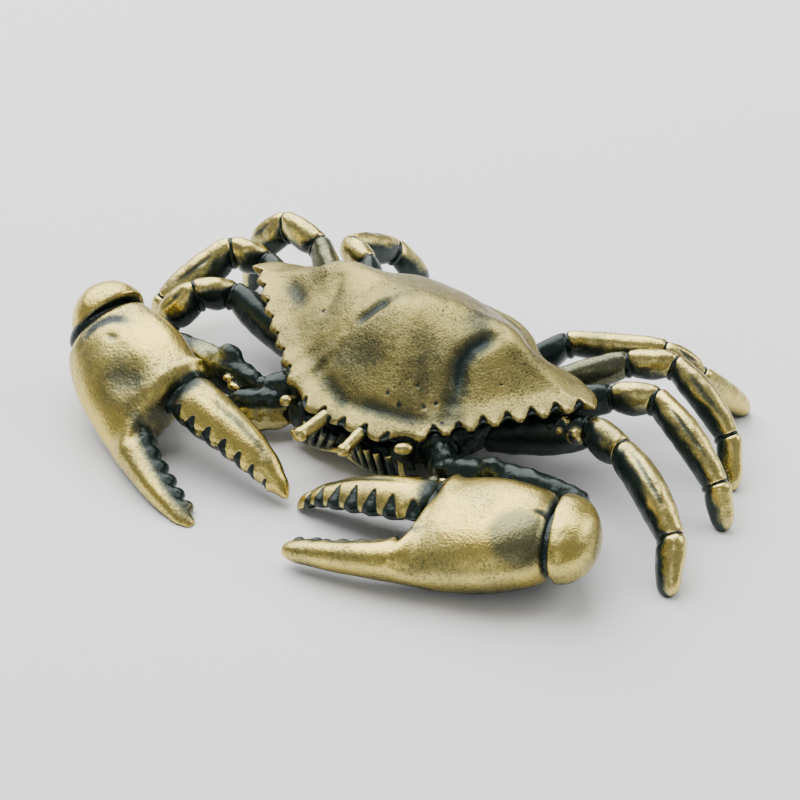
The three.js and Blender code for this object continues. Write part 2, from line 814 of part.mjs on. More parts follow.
function stalkGeometry({ rootShares, direction, length, thickness, stationShares }, cutters, grow = 0) {
  const root = new THREE.Vector3(
    rootShares[0] * shellHalfWidth,
    rootShares[1] * bellyFront,
    frontMarginUnderside() - rootShares[2] * thickness,
  );
  const heading = direction.clone().normalize();
  const tip = root.clone().addScaledVector(heading, length);
  const { side, top } = limbAxes(heading, leftward);
  const rings = stationShares.map(([along, share]) => {
    const half = (share * thickness) / 2 + grow;
    return oval(root.clone().lerp(tip, along), side, top, half, half, legSides);
  });
  return cutBy(skin([[root], ...rings, [tip]]), cutters);
}

// Jaws: two rounded plates on the front of the body, between its underside and the shell's margin,
// cut back where the arms and feelers pass

const jawStationShares = [[0, 1], [0.75, 1], [0.92, 0.86]];
const jawRootShare = 0.5;
const jawAsideShare = 0.72;

function jawGeometry(cutters) {
  const front = -bellyFront - jointGap - jawThickness;
  const depth = jawThickness + jawRootShare * jawWidth;
  const bottom = bellyClearance + jawBellyRise;
  const height = frontMarginUnderside() - jawMarginDrop - bottom;
  const placeAt = (along) => new THREE.Vector3(
    jawAsideShare * jawWidth,
    front + depth * (1 - along),
    bottom + height / 2,
  );
  const rings = jawStationShares.map(([along, share]) => oval(
    placeAt(along), leftward, upward,
    (share * jawWidth) / 2, (share * height) / 2, armSides));
  return cutBy(skin([[placeAt(0)], ...rings, [placeAt(1)]]), cutters);
}

// Tail flap: a tapering plate folded forward under the body

const tailFlapShares = [
  [0.16, 1.0], [0.3, 0.85], [0.42, 0.6], [0.5, 0.3], [0.46, 0.08], [0.3, 0],
];
const tailFlapLevelShares = [[0, 0.94], [0.35, 1], [1, 0.82]];
const tailFlapRearShare = 0.8;
const tailFlapMiddleShare = 0.45;

function tailFlapGeometry() {
  const rear = bellyHalfLength * tailFlapRearShare - bellyFrontShift;
  const outline = [
    ...tailFlapShares,
    ...tailFlapShares.map(([x, y]) => [-x, y]).reverse(),
  ];
  const top = bellyClearance - jointGap;
  const middle = new THREE.Vector2(0, rear - tailFlapLength * tailFlapMiddleShare);
  const rings = tailFlapLevelShares.map(([level, share]) => outline.map(([x, y]) => {
    const flat = new THREE.Vector2(x * tailFlapWidth, rear - y * tailFlapLength);
    flat.lerp(middle, 1 - share);
    return new THREE.Vector3(flat.x, flat.y, top - level * tailFlapThickness);
  }));
  return skin([
    [new THREE.Vector3(middle.x, middle.y, top)],
    ...rings,
    [new THREE.Vector3(middle.x, middle.y, top - tailFlapThickness)],
  ]);
}

// The whole crab

const crab = new THREE.Group();

function addPiece(name, geometry, material, parent = crab) {
  const mesh = new THREE.Mesh(geometry, material);
  mesh.name = name;
  parent.add(mesh);
}

const legs = Object.entries(legShares).map(([name, leg]) => ({
  name,
  segments: legSegments(leg),
}));
const hipCutters = legs.map(({ segments }) => segment({ ...segments[0], grow: socketGap }));
const shoulderCutter = segment({ ...armSegments(clawPoses.left)[0], grow: socketGap });
const bodyCutter = skin(bellyRings(jointGap));
const feelerCutter = stalkGeometry(feelerStalk, [], jointGap);

addPiece('shell', carapaceGeometry(), polishedBrass());
addPiece('body', cutBy(skin(bellyRings(0)),
  [...hipCutters, shoulderCutter, mirrored(shoulderCutter)]), darkenedBrass());
addPiece('tail_flap', tailFlapGeometry(), polishedBrass());

['left', 'right'].forEach((sideName) => {
  const sided = (geometry) => (sideName === 'left' ? geometry : mirrored(geometry));
  const pose = clawPoses[sideName];
  const place = wristPlace(pose);
  const arm = armSegments(pose);
  const armEnd = segment({ ...arm[1], grow: socketGap }).translate(-place.x, -place.y, -place.z);
  const upperArm = cutBy(segment(arm[1]), [palmPassage(pose)]);
  const jaw = jawGeometry([bodyCutter, shoulderCutter, feelerCutter]);
  addPiece(`${sideName}_eye`, sided(stalkGeometry(eyeStalk, [bodyCutter])), polishedBrass());
  addPiece(`${sideName}_feeler`, sided(stalkGeometry(feelerStalk, [bodyCutter])), polishedBrass());
  addPiece(`${sideName}_jaw`, sided(jaw), darkenedBrass());
  addPiece(`${sideName}_shoulder`, sided(segment(arm[0])), darkenedBrass());
  addPiece(`${sideName}_upper_arm`, sided(upperArm), darkenedBrass());
  const claw = new THREE.Group();
  claw.position.set(sideName === 'left' ? place.x : -place.x, place.y, place.z);
  crab.add(claw);
  addPiece(`${sideName}_wrist`, sided(wristGeometry(pose, [armEnd])), polishedBrass(), claw);
  addPiece(`${sideName}_palm`, sided(palmGeometry(pose)), polishedBrass(), claw);
  addPiece(`${sideName}_movable_finger`, sided(movableFingerGeometry(pose)), polishedBrass(), claw);
});

legs.forEach(({ name, segments }) => {
  segments.forEach((spec) => {
    addPiece(`${name}_${spec.piece}`, segment(spec), polishedBrass());
  });
});

// The figurine stands on the ground with the middle of its outline over the origin.
const bounds = new THREE.Box3().setFromObject(crab, true);
const middle = bounds.getCenter(new THREE.Vector3());
crab.position.set(-middle.x, -middle.y, -bounds.min.z);

export default crab;
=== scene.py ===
"""A small crab of cast brass: rounded, worn and darkened over its solids."""

import math

import bmesh
import bpy
import numpy as np
from mathutils import Matrix, Vector, noise
from mathutils.bvhtree import BVHTree


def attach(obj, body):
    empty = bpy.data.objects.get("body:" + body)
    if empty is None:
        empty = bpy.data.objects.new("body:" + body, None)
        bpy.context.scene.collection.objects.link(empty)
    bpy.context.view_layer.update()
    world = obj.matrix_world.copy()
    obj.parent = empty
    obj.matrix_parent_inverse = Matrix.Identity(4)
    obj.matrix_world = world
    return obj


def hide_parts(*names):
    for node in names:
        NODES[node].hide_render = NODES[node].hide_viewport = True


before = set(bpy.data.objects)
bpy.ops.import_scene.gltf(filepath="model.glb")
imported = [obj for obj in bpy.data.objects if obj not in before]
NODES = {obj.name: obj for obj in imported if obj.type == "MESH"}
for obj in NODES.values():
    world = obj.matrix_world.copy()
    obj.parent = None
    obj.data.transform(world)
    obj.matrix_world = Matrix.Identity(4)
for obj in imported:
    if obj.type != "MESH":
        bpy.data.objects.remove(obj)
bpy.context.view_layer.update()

MM = 0.001
# Places on the crab are given in millimetres from the ground below the middle between its spines.
# The shell reaches this far in front of it.
SHELL_REACH = 12.577
shell_corners = [corner.co for corner in NODES["shell"].data.vertices]
BODY_MIDDLE = Vector(
    (
        (min(c.x for c in shell_corners) + max(c.x for c in shell_corners)) / 2,
        min(c.y for c in shell_corners) + SHELL_REACH * MM,
        0.0,
    )
)


def at(x, y, z):
    """A place in millimetres from below the middle between the spines, as a place in the scene."""
    return Vector((x, y, z)) * MM + BODY_MIDDLE


# Shapes from the solids


def rows_of(items, field, columns=3, kind=np.float32):
    """One field of a mesh's items as rows of numbers."""
    flat = np.empty(len(items) * columns, kind)
    items.foreach_get(field, flat)
    return flat.reshape(-1, columns)


def points_of(mesh):
    return rows_of(mesh.vertices, "co").astype(float)


def normals_of(mesh):
    return rows_of(mesh.vertex_normals, "vector").astype(float)


def set_points(mesh, points):
    """Moves the mesh's points to the places in the rows."""
    mesh.vertices.foreach_set("co", np.asarray(points, np.float32).ravel())
    mesh.update()


def pushed_out(mesh, rise):
    """Moves each point along its normal by its own millimetres, or all by the same."""
    set_points(mesh, points_of(mesh) + normals_of(mesh) * np.reshape(rise * MM, (-1, 1)))


def in_scene(name, data):
    """A new object in the scene that holds the data."""
    thing = bpy.data.objects.new(name, data)
    bpy.context.scene.collection.objects.link(thing)
    return thing


def merged_solid(name):
    """A bmesh of one solid with its loose triangles merged."""
    shape = bmesh.new()
    shape.from_mesh(NODES[name].data)
    bmesh.ops.remove_doubles(shape, verts=shape.verts, dist=1e-6)
    return shape


def mesh_from(shape, name):
    """Makes a mesh of a bmesh and frees the bmesh."""
    mesh = bpy.data.meshes.new(name)
    shape.to_mesh(mesh)
    shape.free()
    return mesh


def worked_out(thing, name):
    """The object's mesh with its modifiers applied."""
    view = bpy.context.evaluated_depsgraph_get()
    mesh = bpy.data.meshes.new_from_object(thing.evaluated_get(view))
    mesh.name = name
    return mesh


def rounded_solid(name, levels):
    """A soft skin that passes through the corners of a solid."""
    shape = merged_solid(name)
    # The triangles are paired into four-sided faces again
    bmesh.ops.join_triangles(
        shape, faces=shape.faces, angle_face_threshold=math.pi, angle_shape_threshold=math.pi
    )
    cage = mesh_from(shape, name + "_cage")
    holder = in_scene(name + "_cage", cage)
    round_off = holder.modifiers.new("Round off", "SUBSURF")
    round_off.levels = round_off.render_levels = 1
    target = points_of(cage)
    reached = target.copy()
    for _ in range(7):
        view = bpy.context.evaluated_depsgraph_get()
        seen = holder.evaluated_get(view)
        soft = points_of(seen.to_mesh())[: len(target)]
        seen.to_mesh_clear()
        reached += target - soft
        set_points(cage, reached)
    round_off.levels = round_off.render_levels = levels
    mesh = worked_out(holder, name)
    bpy.data.objects.remove(holder)
    return mesh


def melted_skin(mesh, name, grain):
    """One even skin round a mesh, with a grain in millimetres."""
    holder = in_scene(name + "_wax", mesh)
    melt = holder.modifiers.new("Melt", "REMESH")
    melt.mode = "VOXEL"
    melt.voxel_size = grain * MM
    skin = worked_out(holder, name)
    bpy.data.objects.remove(holder)
    return skin


def melted_solid(name, grain, rounds):
    """A solid with cut faces, its corners melted soft as in a casting."""
    dense = melted_skin(mesh_from(merged_solid(name), name + "_cut"), name, grain)
    shape = bmesh.new()
    shape.from_mesh(dense)
    for _ in range(rounds):
        bmesh.ops.smooth_vert(
            shape, verts=shape.verts, factor=0.5, use_axis_x=True, use_axis_y=True, use_axis_z=True
        )
    shape.to_mesh(dense)
    shape.free()
    return dense


# Patina and wear

TREES = {}
BOXES = {}


def tree_of(name):
    """The nearest-surface finder of one solid and its box."""
    if name not in TREES:
        shape = merged_solid(name)
        TREES[name] = BVHTree.FromBMesh(shape)
        spots = np.array([v.co[:] for v in shape.verts])
        BOXES[name] = (spots.min(0), spots.max(0))
        shape.free()
    return TREES[name]


def smoothstep(low, high, value):
    """A soft step: 0 up to the low value, 1 from the high one on."""
    share = np.clip((value - low) / (high - low), 0.0, 1.0)
    return share * share * (3 - 2 * share)


def nearness(points, own, reach):
    """How close each point lies to the other solids: 1 where they meet, 0 from the reach on."""
    low, high = points.min(0) - reach, points.max(0) + reach
    nearest = np.full(len(points), reach)
    for other in NODES:
        if other in own:
            continue
        tree = tree_of(other)
        box_low, box_high = BOXES[other]
        if (box_low > high).any() or (box_high < low).any():
            continue
        inside = np.all((points > box_low - reach) & (points < box_high + reach), axis=1)
        for i in np.nonzero(inside)[0]:
            found = tree.find_nearest(Vector(points[i]), nearest[i])
            if found[0] is not None:
                nearest[i] = found[3]
    return 1 - nearest / reach


def drawn_in(mesh, gives):
    """The mesh's points moved towards the middle of their neighbours, once for each share given."""
    pairs = rows_of(mesh.edges, "vertices", 2, np.int32)
    points = points_of(mesh)
    count = np.maximum(np.bincount(pairs.ravel(), minlength=len(points)), 1)[:, None]
    for give in gives:
        total = np.stack(
            [
                np.bincount(pairs[:, 0], points[pairs[:, 1], axis], len(points))
                + np.bincount(pairs[:, 1], points[pairs[:, 0], axis], len(points))
                for axis in range(3)
            ],
            axis=1,
        )
        points = points + give * (total / count - points)
    return points


def hollowness(mesh, rounds):
    """How far each point lies below its surroundings, in metres; ridges are negative."""
    around = drawn_in(mesh, [0.5] * rounds)
    points = points_of(mesh)
    return np.einsum("ij,ij->i", around - points, normals_of(mesh))


def note(mesh, name, values):
    """Keeps a value for each point of the mesh, or the same for all, for its material."""
    layer = mesh.attributes.new(name, "FLOAT", "POINT")
    layer.data.foreach_set("value", np.full(len(mesh.vertices), values, np.float32))


def coat(mesh, own, reach=0.9, hollow=(8, 0.03), extra=0.0, shade=(0, 0, -1), reached=(0.15, 0.9)):
    """Notes the dark patina and the worn ridges of a piece.

    The patina stays where other pieces are near and in hollows. On the sides that turn towards the
    shade direction, from the first to the second share, the darkening is patina together with painted
    shade. The hollow is given by the rounds of evening out and a depth in millimetres. Extra darkness
    lies over all that.
    """
    points = points_of(mesh)
    normals = normals_of(mesh)
    close = smoothstep(0.05, 0.8, nearness(points, own, reach * MM))
    depth = hollowness(mesh, hollow[0]) / (hollow[1] * MM)
    sunk = smoothstep(0.2, 1.4, depth)
    ridge = smoothstep(0.1, 1.2, -depth)
    # The darkening on the sides turned towards the shade direction is painted shade, mixed with patina
    direction = np.array(Vector(shade).normalized())
    uneven = np.array([noise.noise(Vector(p) / (1.6 * MM)) for p in points])
    turned = smoothstep(*reached, normals @ direction + 0.22 * uneven)
    patina = 1 - (1 - close) * (1 - 0.85 * sunk) * (1 - 0.9 * turned) * (1 - extra)
    note(mesh, "patina", np.clip(patina, 0, 1))
    note(mesh, "ridge", np.clip(ridge, 0, 1))


def cast_lumps(mesh, height, size, seed):
    """Slight unevenness of a casting, pushed along the normals."""
    offset = Vector((seed * 7.3, seed * 3.1, seed * 5.7))
    rise = [noise.noise(Vector(p) / (size * MM) + offset) for p in points_of(mesh)]
    pushed_out(mesh, np.array(rise) * height)


# Materials


def new_group(name, inputs, outputs):
    """A shader node group with named sockets; gives the group and its two end nodes."""
    group = bpy.data.node_groups.new(name, "ShaderNodeTree")
    for label, value in inputs:
        socket = group.interface.new_socket(label, in_out="INPUT", socket_type="NodeSocketFloat")
        socket.default_value = value
    for label in outputs:
        group.interface.new_socket(label, in_out="OUTPUT", socket_type="NodeSocketFloat")
    return group, group.nodes.new("NodeGroupInput"), group.nodes.new("NodeGroupOutput")


def wire(tree, source, target):
    """Links one socket to another."""
    tree.links.new(source, target)


def given_or_wired(tree, value, socket):
    """Sets a number or a colour on a socket, or wires another socket to it."""
    if isinstance(value, bpy.types.NodeSocket):
        wire(tree, value, socket)
    else:
        socket.default_value = (*value, 1) if isinstance(value, tuple) else value


def maths(tree, operation, first, second):
    """A Math node whose inputs are sockets or numbers; gives its result socket."""
    node = tree.nodes.new("ShaderNodeMath")
    node.operation = operation
    given_or_wired(tree, first, node.inputs[0])
    given_or_wired(tree, second, node.inputs[1])
    return node.outputs[0]


def remapped(tree, value, low, high):
    """A value turned softly into a share: 0 at the low number, 1 at the high one."""
    node = tree.nodes.new("ShaderNodeMapRange")
    node.interpolation_type = "SMOOTHSTEP"
    node.inputs["From Min"].default_value = low
    node.inputs["From Max"].default_value = high
    wire(tree, value, node.inputs["Value"])
    return node.outputs["Result"]


def mottle(tree, place, scale, detail=3.0, roughness=0.55):
    """A noise value on the object's own coordinates."""
    cloud = tree.nodes.new("ShaderNodeTexNoise")
    cloud.inputs["Detail"].default_value = detail
    cloud.inputs["Roughness"].default_value = roughness
    wire(tree, place, cloud.inputs["Vector"])
    given_or_wired(tree, scale, cloud.inputs["Scale"])
    return cloud.outputs["Fac"]


def noted_value(tree, name):
    """A value that was noted for each point."""
    node = tree.nodes.new("ShaderNodeAttribute")
    node.attribute_name = name
    return node.outputs["Fac"]


def make_cast_grain():
    """Fine pits of the casting, the dark specks in the deeper ones, and a fine change of tint."""
    group, given, made = new_group(
        "Cast grain",
        [("Pit size", 3900.0), ("Speck amount", 0.35)],
        ["Height", "Specks", "Tint"],
    )
    where = group.nodes.new("ShaderNodeTexCoord").outputs["Object"]
    fine = mottle(group, where, given.outputs["Pit size"], 3.0, 0.6)
    broad = mottle(group, where, 1300.0, 2.0, 0.5)
    height = maths(group, "ADD", fine, maths(group, "MULTIPLY", broad, 0.8))
    wire(group, height, made.inputs["Height"])
    pits = remapped(group, fine, 0.47, 0.36)
    gate = remapped(group, mottle(group, where, 330.0, 3.0), 0.38, 0.62)
    gated = maths(group, "MULTIPLY", pits, gate)
    specks = maths(group, "MULTIPLY", gated, given.outputs["Speck amount"])
    wire(group, specks, made.inputs["Specks"])
    wire(group, remapped(group, fine, 0.36, 0.64), made.inputs["Tint"])
    return group


def make_settled_patina():
    """Where the dark patina was left: in hollows, joints and shaded corners."""
    group, given, made = new_group(
        "Settled patina",
        [("Corner reach", 0.0014), ("Corner share", 1.0), ("Break up", 0.9)],
        ["Mask", "Veil"],
    )
    where = group.nodes.new("ShaderNodeTexCoord").outputs["Object"]
    shade = group.nodes.new("ShaderNodeAmbientOcclusion")
    shade.samples = 8
    wire(group, given.outputs["Corner reach"], shade.inputs["Distance"])
    corner = remapped(group, shade.outputs["AO"], 0.8, 0.3)
    corner = maths(group, "MULTIPLY", corner, given.outputs["Corner share"])
    stipple = mottle(group, where, 3300.0, 3.0, 0.65)
    cloud = mottle(group, where, 900.0, 3.0, 0.6)
    stipple = maths(group, "MULTIPLY", stipple, 0.65)
    cloud = maths(group, "MULTIPLY", cloud, 0.35)
    ragged = maths(group, "SUBTRACT", maths(group, "ADD", stipple, cloud), 0.5)
    ragged = maths(group, "MULTIPLY", ragged, given.outputs["Break up"])
    both = maths(group, "MAXIMUM", noted_value(group, "patina"), corner)
    total = maths(group, "ADD", both, ragged)
    wire(group, remapped(group, total, 0.3, 0.78), made.inputs["Mask"])
    wire(group, remapped(group, total, 0.03, 0.42), made.inputs["Veil"])
    return group


CAST_GRAIN = make_cast_grain()
SETTLED_PATINA = make_settled_patina()


def placed(tree, group, **values):
    """A shared effect in a material, with the material's own values."""
    node = tree.nodes.new("ShaderNodeGroup")
    node.node_tree = group
    for label, value in values.items():
        node.inputs[label.replace("_", " ")].default_value = value
    return node


def blended(tree, share, first, second):
    """A colour mix; the colours are sockets or red, green and blue."""
    node = tree.nodes.new("ShaderNodeMix")
    node.data_type = "RGBA"
    wire(tree, share, node.inputs[0])
    given_or_wired(tree, first, node.inputs[6])
    given_or_wired(tree, second, node.inputs[7])
    return node.outputs[2]


# Colours of the specks and of the settled patina
SPECKS = (0.05, 0.048, 0.026)
DARK = (0.0085, 0.0195, 0.0165)


def brass(name, colours, gloss, specks=0.35, bumps=0.5, pits=3900.0, corners=1.0):
    """Polished cast brass with dark patina in its hollows.

    The colours are those of worn ridges, of the polished metal, of its duller places and of the
    thin veil round the patina, which also colours the noted tarnish and painted reflections. The corners
    say how strongly patina gathers in narrow places.
    """
    pale, gold, dull, veil = colours
    material = bpy.data.materials.new(name)
    material.use_nodes = True
    tree = material.node_tree
    shader = tree.nodes["Principled BSDF"]
    where = tree.nodes.new("ShaderNodeTexCoord").outputs["Object"]
    grain = placed(tree, CAST_GRAIN, Pit_size=pits, Speck_amount=specks)
    patina = placed(tree, SETTLED_PATINA, Corner_share=corners)
    mask, dark_specks = patina.outputs["Mask"], grain.outputs["Specks"]
    ridges = noted_value(tree, "ridge")
    cloud = remapped(tree, mottle(tree, where, 170.0, 4.0, 0.6), 0.36, 0.66)
    veiled = maths(tree, "MULTIPLY", patina.outputs["Veil"], 0.88)
    # The veil colour also lies where tarnish and painted reflections were noted
    veiled = maths(tree, "MAXIMUM", veiled, noted_value(tree, "tarnish_and_painted_reflection"))
    colour = gold
    for share, over in (
        (cloud, dull),
        (maths(tree, "MULTIPLY", grain.outputs["Tint"], 0.35), pale),
        (maths(tree, "MULTIPLY", ridges, 0.7), pale),
        (veiled, veil),
        (dark_specks, SPECKS),
        (mask, DARK),
    ):
        colour = blended(tree, share, colour, over)
    wire(tree, colour, shader.inputs["Base Color"])

    rough = gloss
    for operation, value, share in (
        ("ADD", cloud, 0.07), ("SUBTRACT", ridges, 0.08), ("ADD", dark_specks, 0.2)
    ):
        rough = maths(tree, operation, rough, maths(tree, "MULTIPLY", value, share))
    wire(tree, rough, shader.inputs["Roughness"])
    metal = maths(tree, "SUBTRACT", 1.0, maths(tree, "MULTIPLY", mask, 0.6))
    wire(tree, metal, shader.inputs["Metallic"])

    bump = tree.nodes.new("ShaderNodeBump")
    bump.inputs["Strength"].default_value = bumps
    bump.inputs["Distance"].default_value = 0.00012
    wire(tree, grain.outputs["Height"], bump.inputs["Height"])
    wire(tree, bump.outputs["Normal"], shader.inputs["Normal"])
    return material


SHELL_COLOURS = (
    (0.47, 0.385, 0.135), (0.31, 0.26, 0.082), (0.175, 0.16, 0.064), (0.078, 0.083, 0.047)
)
CLAW_COLOURS = (
    (0.96, 0.72, 0.17), (0.63, 0.505, 0.125), (0.31, 0.285, 0.115), (0.13, 0.142, 0.088)
)
LIMB_COLOURS = (
    (0.95, 0.74, 0.22), (0.6, 0.5, 0.16), (0.29, 0.272, 0.12), (0.125, 0.142, 0.1)
)
PATINA_COLOURS = (
    (0.31, 0.285, 0.115), (0.05, 0.055, 0.04), (0.025, 0.03, 0.028), (0.03, 0.034, 0.028)
)
SHELL_BRASS = brass("Shell brass", SHELL_COLOURS, 0.36, specks=0.9, bumps=0.5, pits=4700.0)
CLAW_BRASS = brass("Claw brass", CLAW_COLOURS, 0.25, specks=0.5, bumps=0.38)
ARM_BRASS = brass("Arm brass", LIMB_COLOURS, 0.25, specks=0.4, bumps=0.3)
LEG_BRASS = brass("Leg brass", LIMB_COLOURS, 0.25, specks=0.4, bumps=0.3, corners=0.55)
MOUTH_BRASS = brass("Mouth brass", LIMB_COLOURS, 0.3, specks=0.4, bumps=0.3, corners=0.12)
BLACK_PATINA = brass("Black patina", PATINA_COLOURS, 0.28)


# Melting and carving


def smoothed(mesh, rounds):
    """Takes the facets out of a mesh without shrinking it."""
    set_points(mesh, drawn_in(mesh, [0.55, -0.57] * rounds))


def eased(mesh, rounds, share=None):
    """Softens creases; the share says for each point how far it gives way."""
    give = 0.5 if share is None else 0.5 * share[:, None]
    set_points(mesh, drawn_in(mesh, [give] * rounds))


def joined(meshes, name):
    """Several meshes as one."""
    shape = bmesh.new()
    for mesh in meshes:
        shape.from_mesh(mesh)
    return mesh_from(shape, name)


def melded(name, meshes, grain, rounds):
    """Melts overlapping shapes into one skin, like wax before casting."""
    skin = melted_skin(joined(meshes, name), name, grain)
    smoothed(skin, rounds)
    return skin


def bead(place, sizes, along=Vector((1, 0, 0)), out=Vector((0, 0, 1)), faces=16):
    """A rounded bead with three half sizes in millimetres."""
    axes = (along, out.cross(along), out)
    columns = [axis.normalized() * size * MM for axis, size in zip(axes, sizes)]
    turned = Matrix.Translation(place) @ Matrix(columns).transposed().to_4x4()
    shape = bmesh.new()
    bmesh.ops.create_uvsphere(
        shape, u_segments=faces, v_segments=faces // 2, radius=1, matrix=turned
    )
    bmesh.ops.recalc_face_normals(shape, faces=shape.faces)
    return mesh_from(shape, "bead")


def rod(start, end, first, last, faces=14):
    """A round rod between two places, its radii in millimetres."""
    along = end - start
    shape = bmesh.new()
    turned = along.to_track_quat("Z", "Y").to_matrix().to_4x4()
    bmesh.ops.create_cone(
        shape,
        cap_ends=True,
        segments=faces,
        radius1=first * MM,
        radius2=last * MM,
        depth=along.length,
        matrix=Matrix.Translation((start + end) / 2) @ turned,
    )
    return mesh_from(shape, "rod")


class Sheet:
    """A flat frame over part of the crab, on which strokes are drawn in millimetres."""

    def __init__(self, origin, across, up, out, facing=0.25):
        self.origin, self.axes, self.facing = origin, (across, up, out), facing

    def flatten(self, mesh):
        """Each point's place across and up the sheet, and how far it faces it."""
        across, up, out = (np.array(axis) for axis in self.axes)
        points = points_of(mesh) - np.array(self.origin)
        turned = smoothstep(self.facing - 0.25, self.facing + 0.15, normals_of(mesh) @ out)
        return points @ across / MM, points @ up / MM, turned


def along_line(x, y, line):
    """How far each place lies from a drawn line, at which share of it, and the line's length."""
    best = np.full(len(x), 1e9)
    share_at = np.full(len(x), 0.5)
    lengths = [math.dist(first, last) for first, last in zip(line, line[1:])]
    whole = sum(lengths)
    done = 0.0
    if not lengths:
        return np.hypot(x - line[0][0], y - line[0][1]), share_at, whole
    for (ax, ay), (bx, by), length in zip(line, line[1:], lengths):
        dx, dy = bx - ax, by - ay
        share = np.clip(((x - ax) * dx + (y - ay) * dy) / length**2, 0, 1)
        away = np.hypot(x - ax - share * dx, y - ay - share * dy)
        nearer = away < best
        best = np.where(nearer, away, best)
        share_at = np.where(nearer, (done + share * length) / whole, share_at)
        done += length
    return best, share_at, whole


def carve(mesh, sheet, strokes):
    """Raises or sinks the skin along drawn strokes; gives the darkness that they leave.

    A stroke is its line, its half width, its rise and its darkness. A long one dies away at both ends.
    """
    x, y, turned = sheet.flatten(mesh)
    rise = np.zeros(len(x))
    dark = np.zeros(len(x))
    for line, width, height, darkness in strokes:
        away, share, length = along_line(x, y, line)
        taper = 0.75 * min(max(length / width / 4 - 0.5, 0.0), 1.0)
        fall = np.exp(-((away / width) ** 2)) * turned
        fall *= 1 - taper + taper * smoothstep(0.0, 0.3, share) * smoothstep(1.0, 0.7, share)
        rise += height * fall
        dark = np.maximum(dark, darkness * fall)
    pushed_out(mesh, rise)
    return dark


def grounded(mesh):
    """Keeps a piece above the ground."""
    points = points_of(mesh)
    points[:, 2] = np.maximum(points[:, 2], 0.0)
    set_points(mesh, points)


# Pieces


def show(name, mesh, material, replaces=()):
    """Puts a finished piece in the scene on the crab's one body."""
    grounded(mesh)
    for face in mesh.polygons:
        face.use_smooth = True
    mesh.materials.append(material)
    piece = in_scene(name, mesh)
    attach(piece, "root")
    if replaces:
        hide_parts(*replaces)


def show_skin(node, mesh, material):
    """Shows a finished piece in place of its solid."""
    show(node + "_skin", mesh, material, (node,))


# The sides of the crab, and which way x runs there
SIDES = {"left": 1, "right": -1}


def beside(side, spot):
    """A place on one side that is drawn on the crab's left."""
    x, y, z = spot
    return at(SIDES[side] * x, y, z)


# Shell: strokes over the top in millimetres round the middle between the spines. Each is a line,
# a half width, a rise and how dark the patina lies in it.
TOP = Sheet(at(0, 0, 0), Vector((1, 0, 0)), Vector((0, 1, 0)), Vector((0, 0, 1)), 0.3)
SHELL_STROKES = [
    # The comma-shaped furrow of the crab's left, and its fellow on the right
    ([(9.7, 0.3), (8.7, -1.1), (8.0, -2.4), (7.8, -3.5), (8.1, -4.7), (8.8, -6.2)], 0.8, -0.5, 0.8),
    ([(8.0, -3.8), (8.7, -5.6), (8.9, -7.3)], 1.1, -0.25, 0.5),
    ([(-9.6, 0.3), (-8.9, -1.0), (-8.3, -2.3), (-8.2, -3.6)], 0.95, -0.3, 0.12),
    # The raised middle with the crease down its right
    ([(-0.2, -1.4), (1.2, -0.4), (3.2, 0.6)], 2.3, 0.24, 0.0),
    ([(0.6, -3.0), (0.4, -4.8)], 1.9, 0.12, 0.0),
    ([(-1.4, -1.8), (-2.1, -2.7), (-2.9, -3.8), (-4.0, -5.3)], 0.62, -0.36, 0.68),
    # The two sunk places in front of it
    ([(-3.0, -7.2), (-0.8, -7.0)], 2.2, -0.24, 0.22),
    ([(4.4, -4.2), (5.6, -6.4)], 2.0, -0.18, 0.16),
    ([(6.6, 0.6), (8.2, -0.6)], 1.5, -0.05, 0.3),
    # The furrow that runs inside the front margin
    ([(-1.2, -10.6), (1.2, -10.35), (3.8, -10.0), (6.4, -9.4), (8.7, -8.45)], 0.65, -0.24, 0.46),
    ([(8.7, -8.45), (10.4, -7.2)], 0.6, -0.15, 0.3),
    ([(0.4, -10.7), (-1.2, -10.6), (-3.4, -9.9), (-5.2, -9.0)], 0.7, -0.2, 0.42),
    ([(-5.6, -8.7), (-6.9, -7.7)], 1.0, -0.16, 0.24),
    # The sunk place by the right spine
    ([(-14.9, -1.0), (-13.2, -2.1), (-11.6, -3.2)], 0.7, -0.24, 0.42),
    ([(-12.6, -0.4), (-9.4, -2.4)], 1.6, -0.22, 0.12),
    # On both sides the swollen gill chambers fall steeply to the flat spines
    *(([(x * 7.4, 3.4), (x * 9.6, 2.0), (x * 11.2, 0.6)], 1.4, 0.3, 0.0) for x in (1, -1)),
    *(([(x * 13.2, 1.4), (x * 11.8, 3.0), (x * 9.6, 4.9)], 1.1, -0.3, 0.05) for x in (1, -1)),
    # The ledge along the rear margin
    (
        [(-9.8, 5.3), (-8.2, 6.7), (-5.6, 7.9), (0.0, 8.45), (5.6, 7.9), (8.2, 6.7), (9.8, 5.3)],
        0.4, -0.16, 0.22,
    ),
]
# Where the shell is stippled darker: a line, a half width and how dark
SHELL_TARNISH = [
    ([(-3.4, -7.6), (-1.0, -7.6)], 2.1, 0.42),
    ([(-5.4, -7.2), (-4.8, -9.0)], 0.9, 0.5),
    ([(6.8, 0.8), (7.9, -0.9)], 1.2, 0.65),
    ([(7.6, -1.6), (7.3, -4.4), (8.4, -7.4)], 1.5, 0.5),
    ([(3.6, -4.2), (5.6, -7.0)], 2.0, 0.42),
    ([(-1.0, -1.2), (-2.4, -2.4)], 1.1, 0.5),
    ([(5.0, -8.4), (8.5, -8.0), (11.0, -6.4)], 1.2, 0.5),
    ([(-14.4, -1.2), (-11.8, -3.0)], 1.2, 0.6),
    ([(-10.0, -5.4), (-7.2, -3.0)], 1.8, 0.34),
    ([(-5.2, -9.1), (-1.2, -10.6), (3.8, -10.0), (8.7, -8.5)], 0.7, 0.46),
    ([(12.0, -5.8), (18.6, -0.6)], 0.7, 0.4),
    ([(-4.0, 5.4), (4.0, 5.6)], 1.6, 0.3),
]
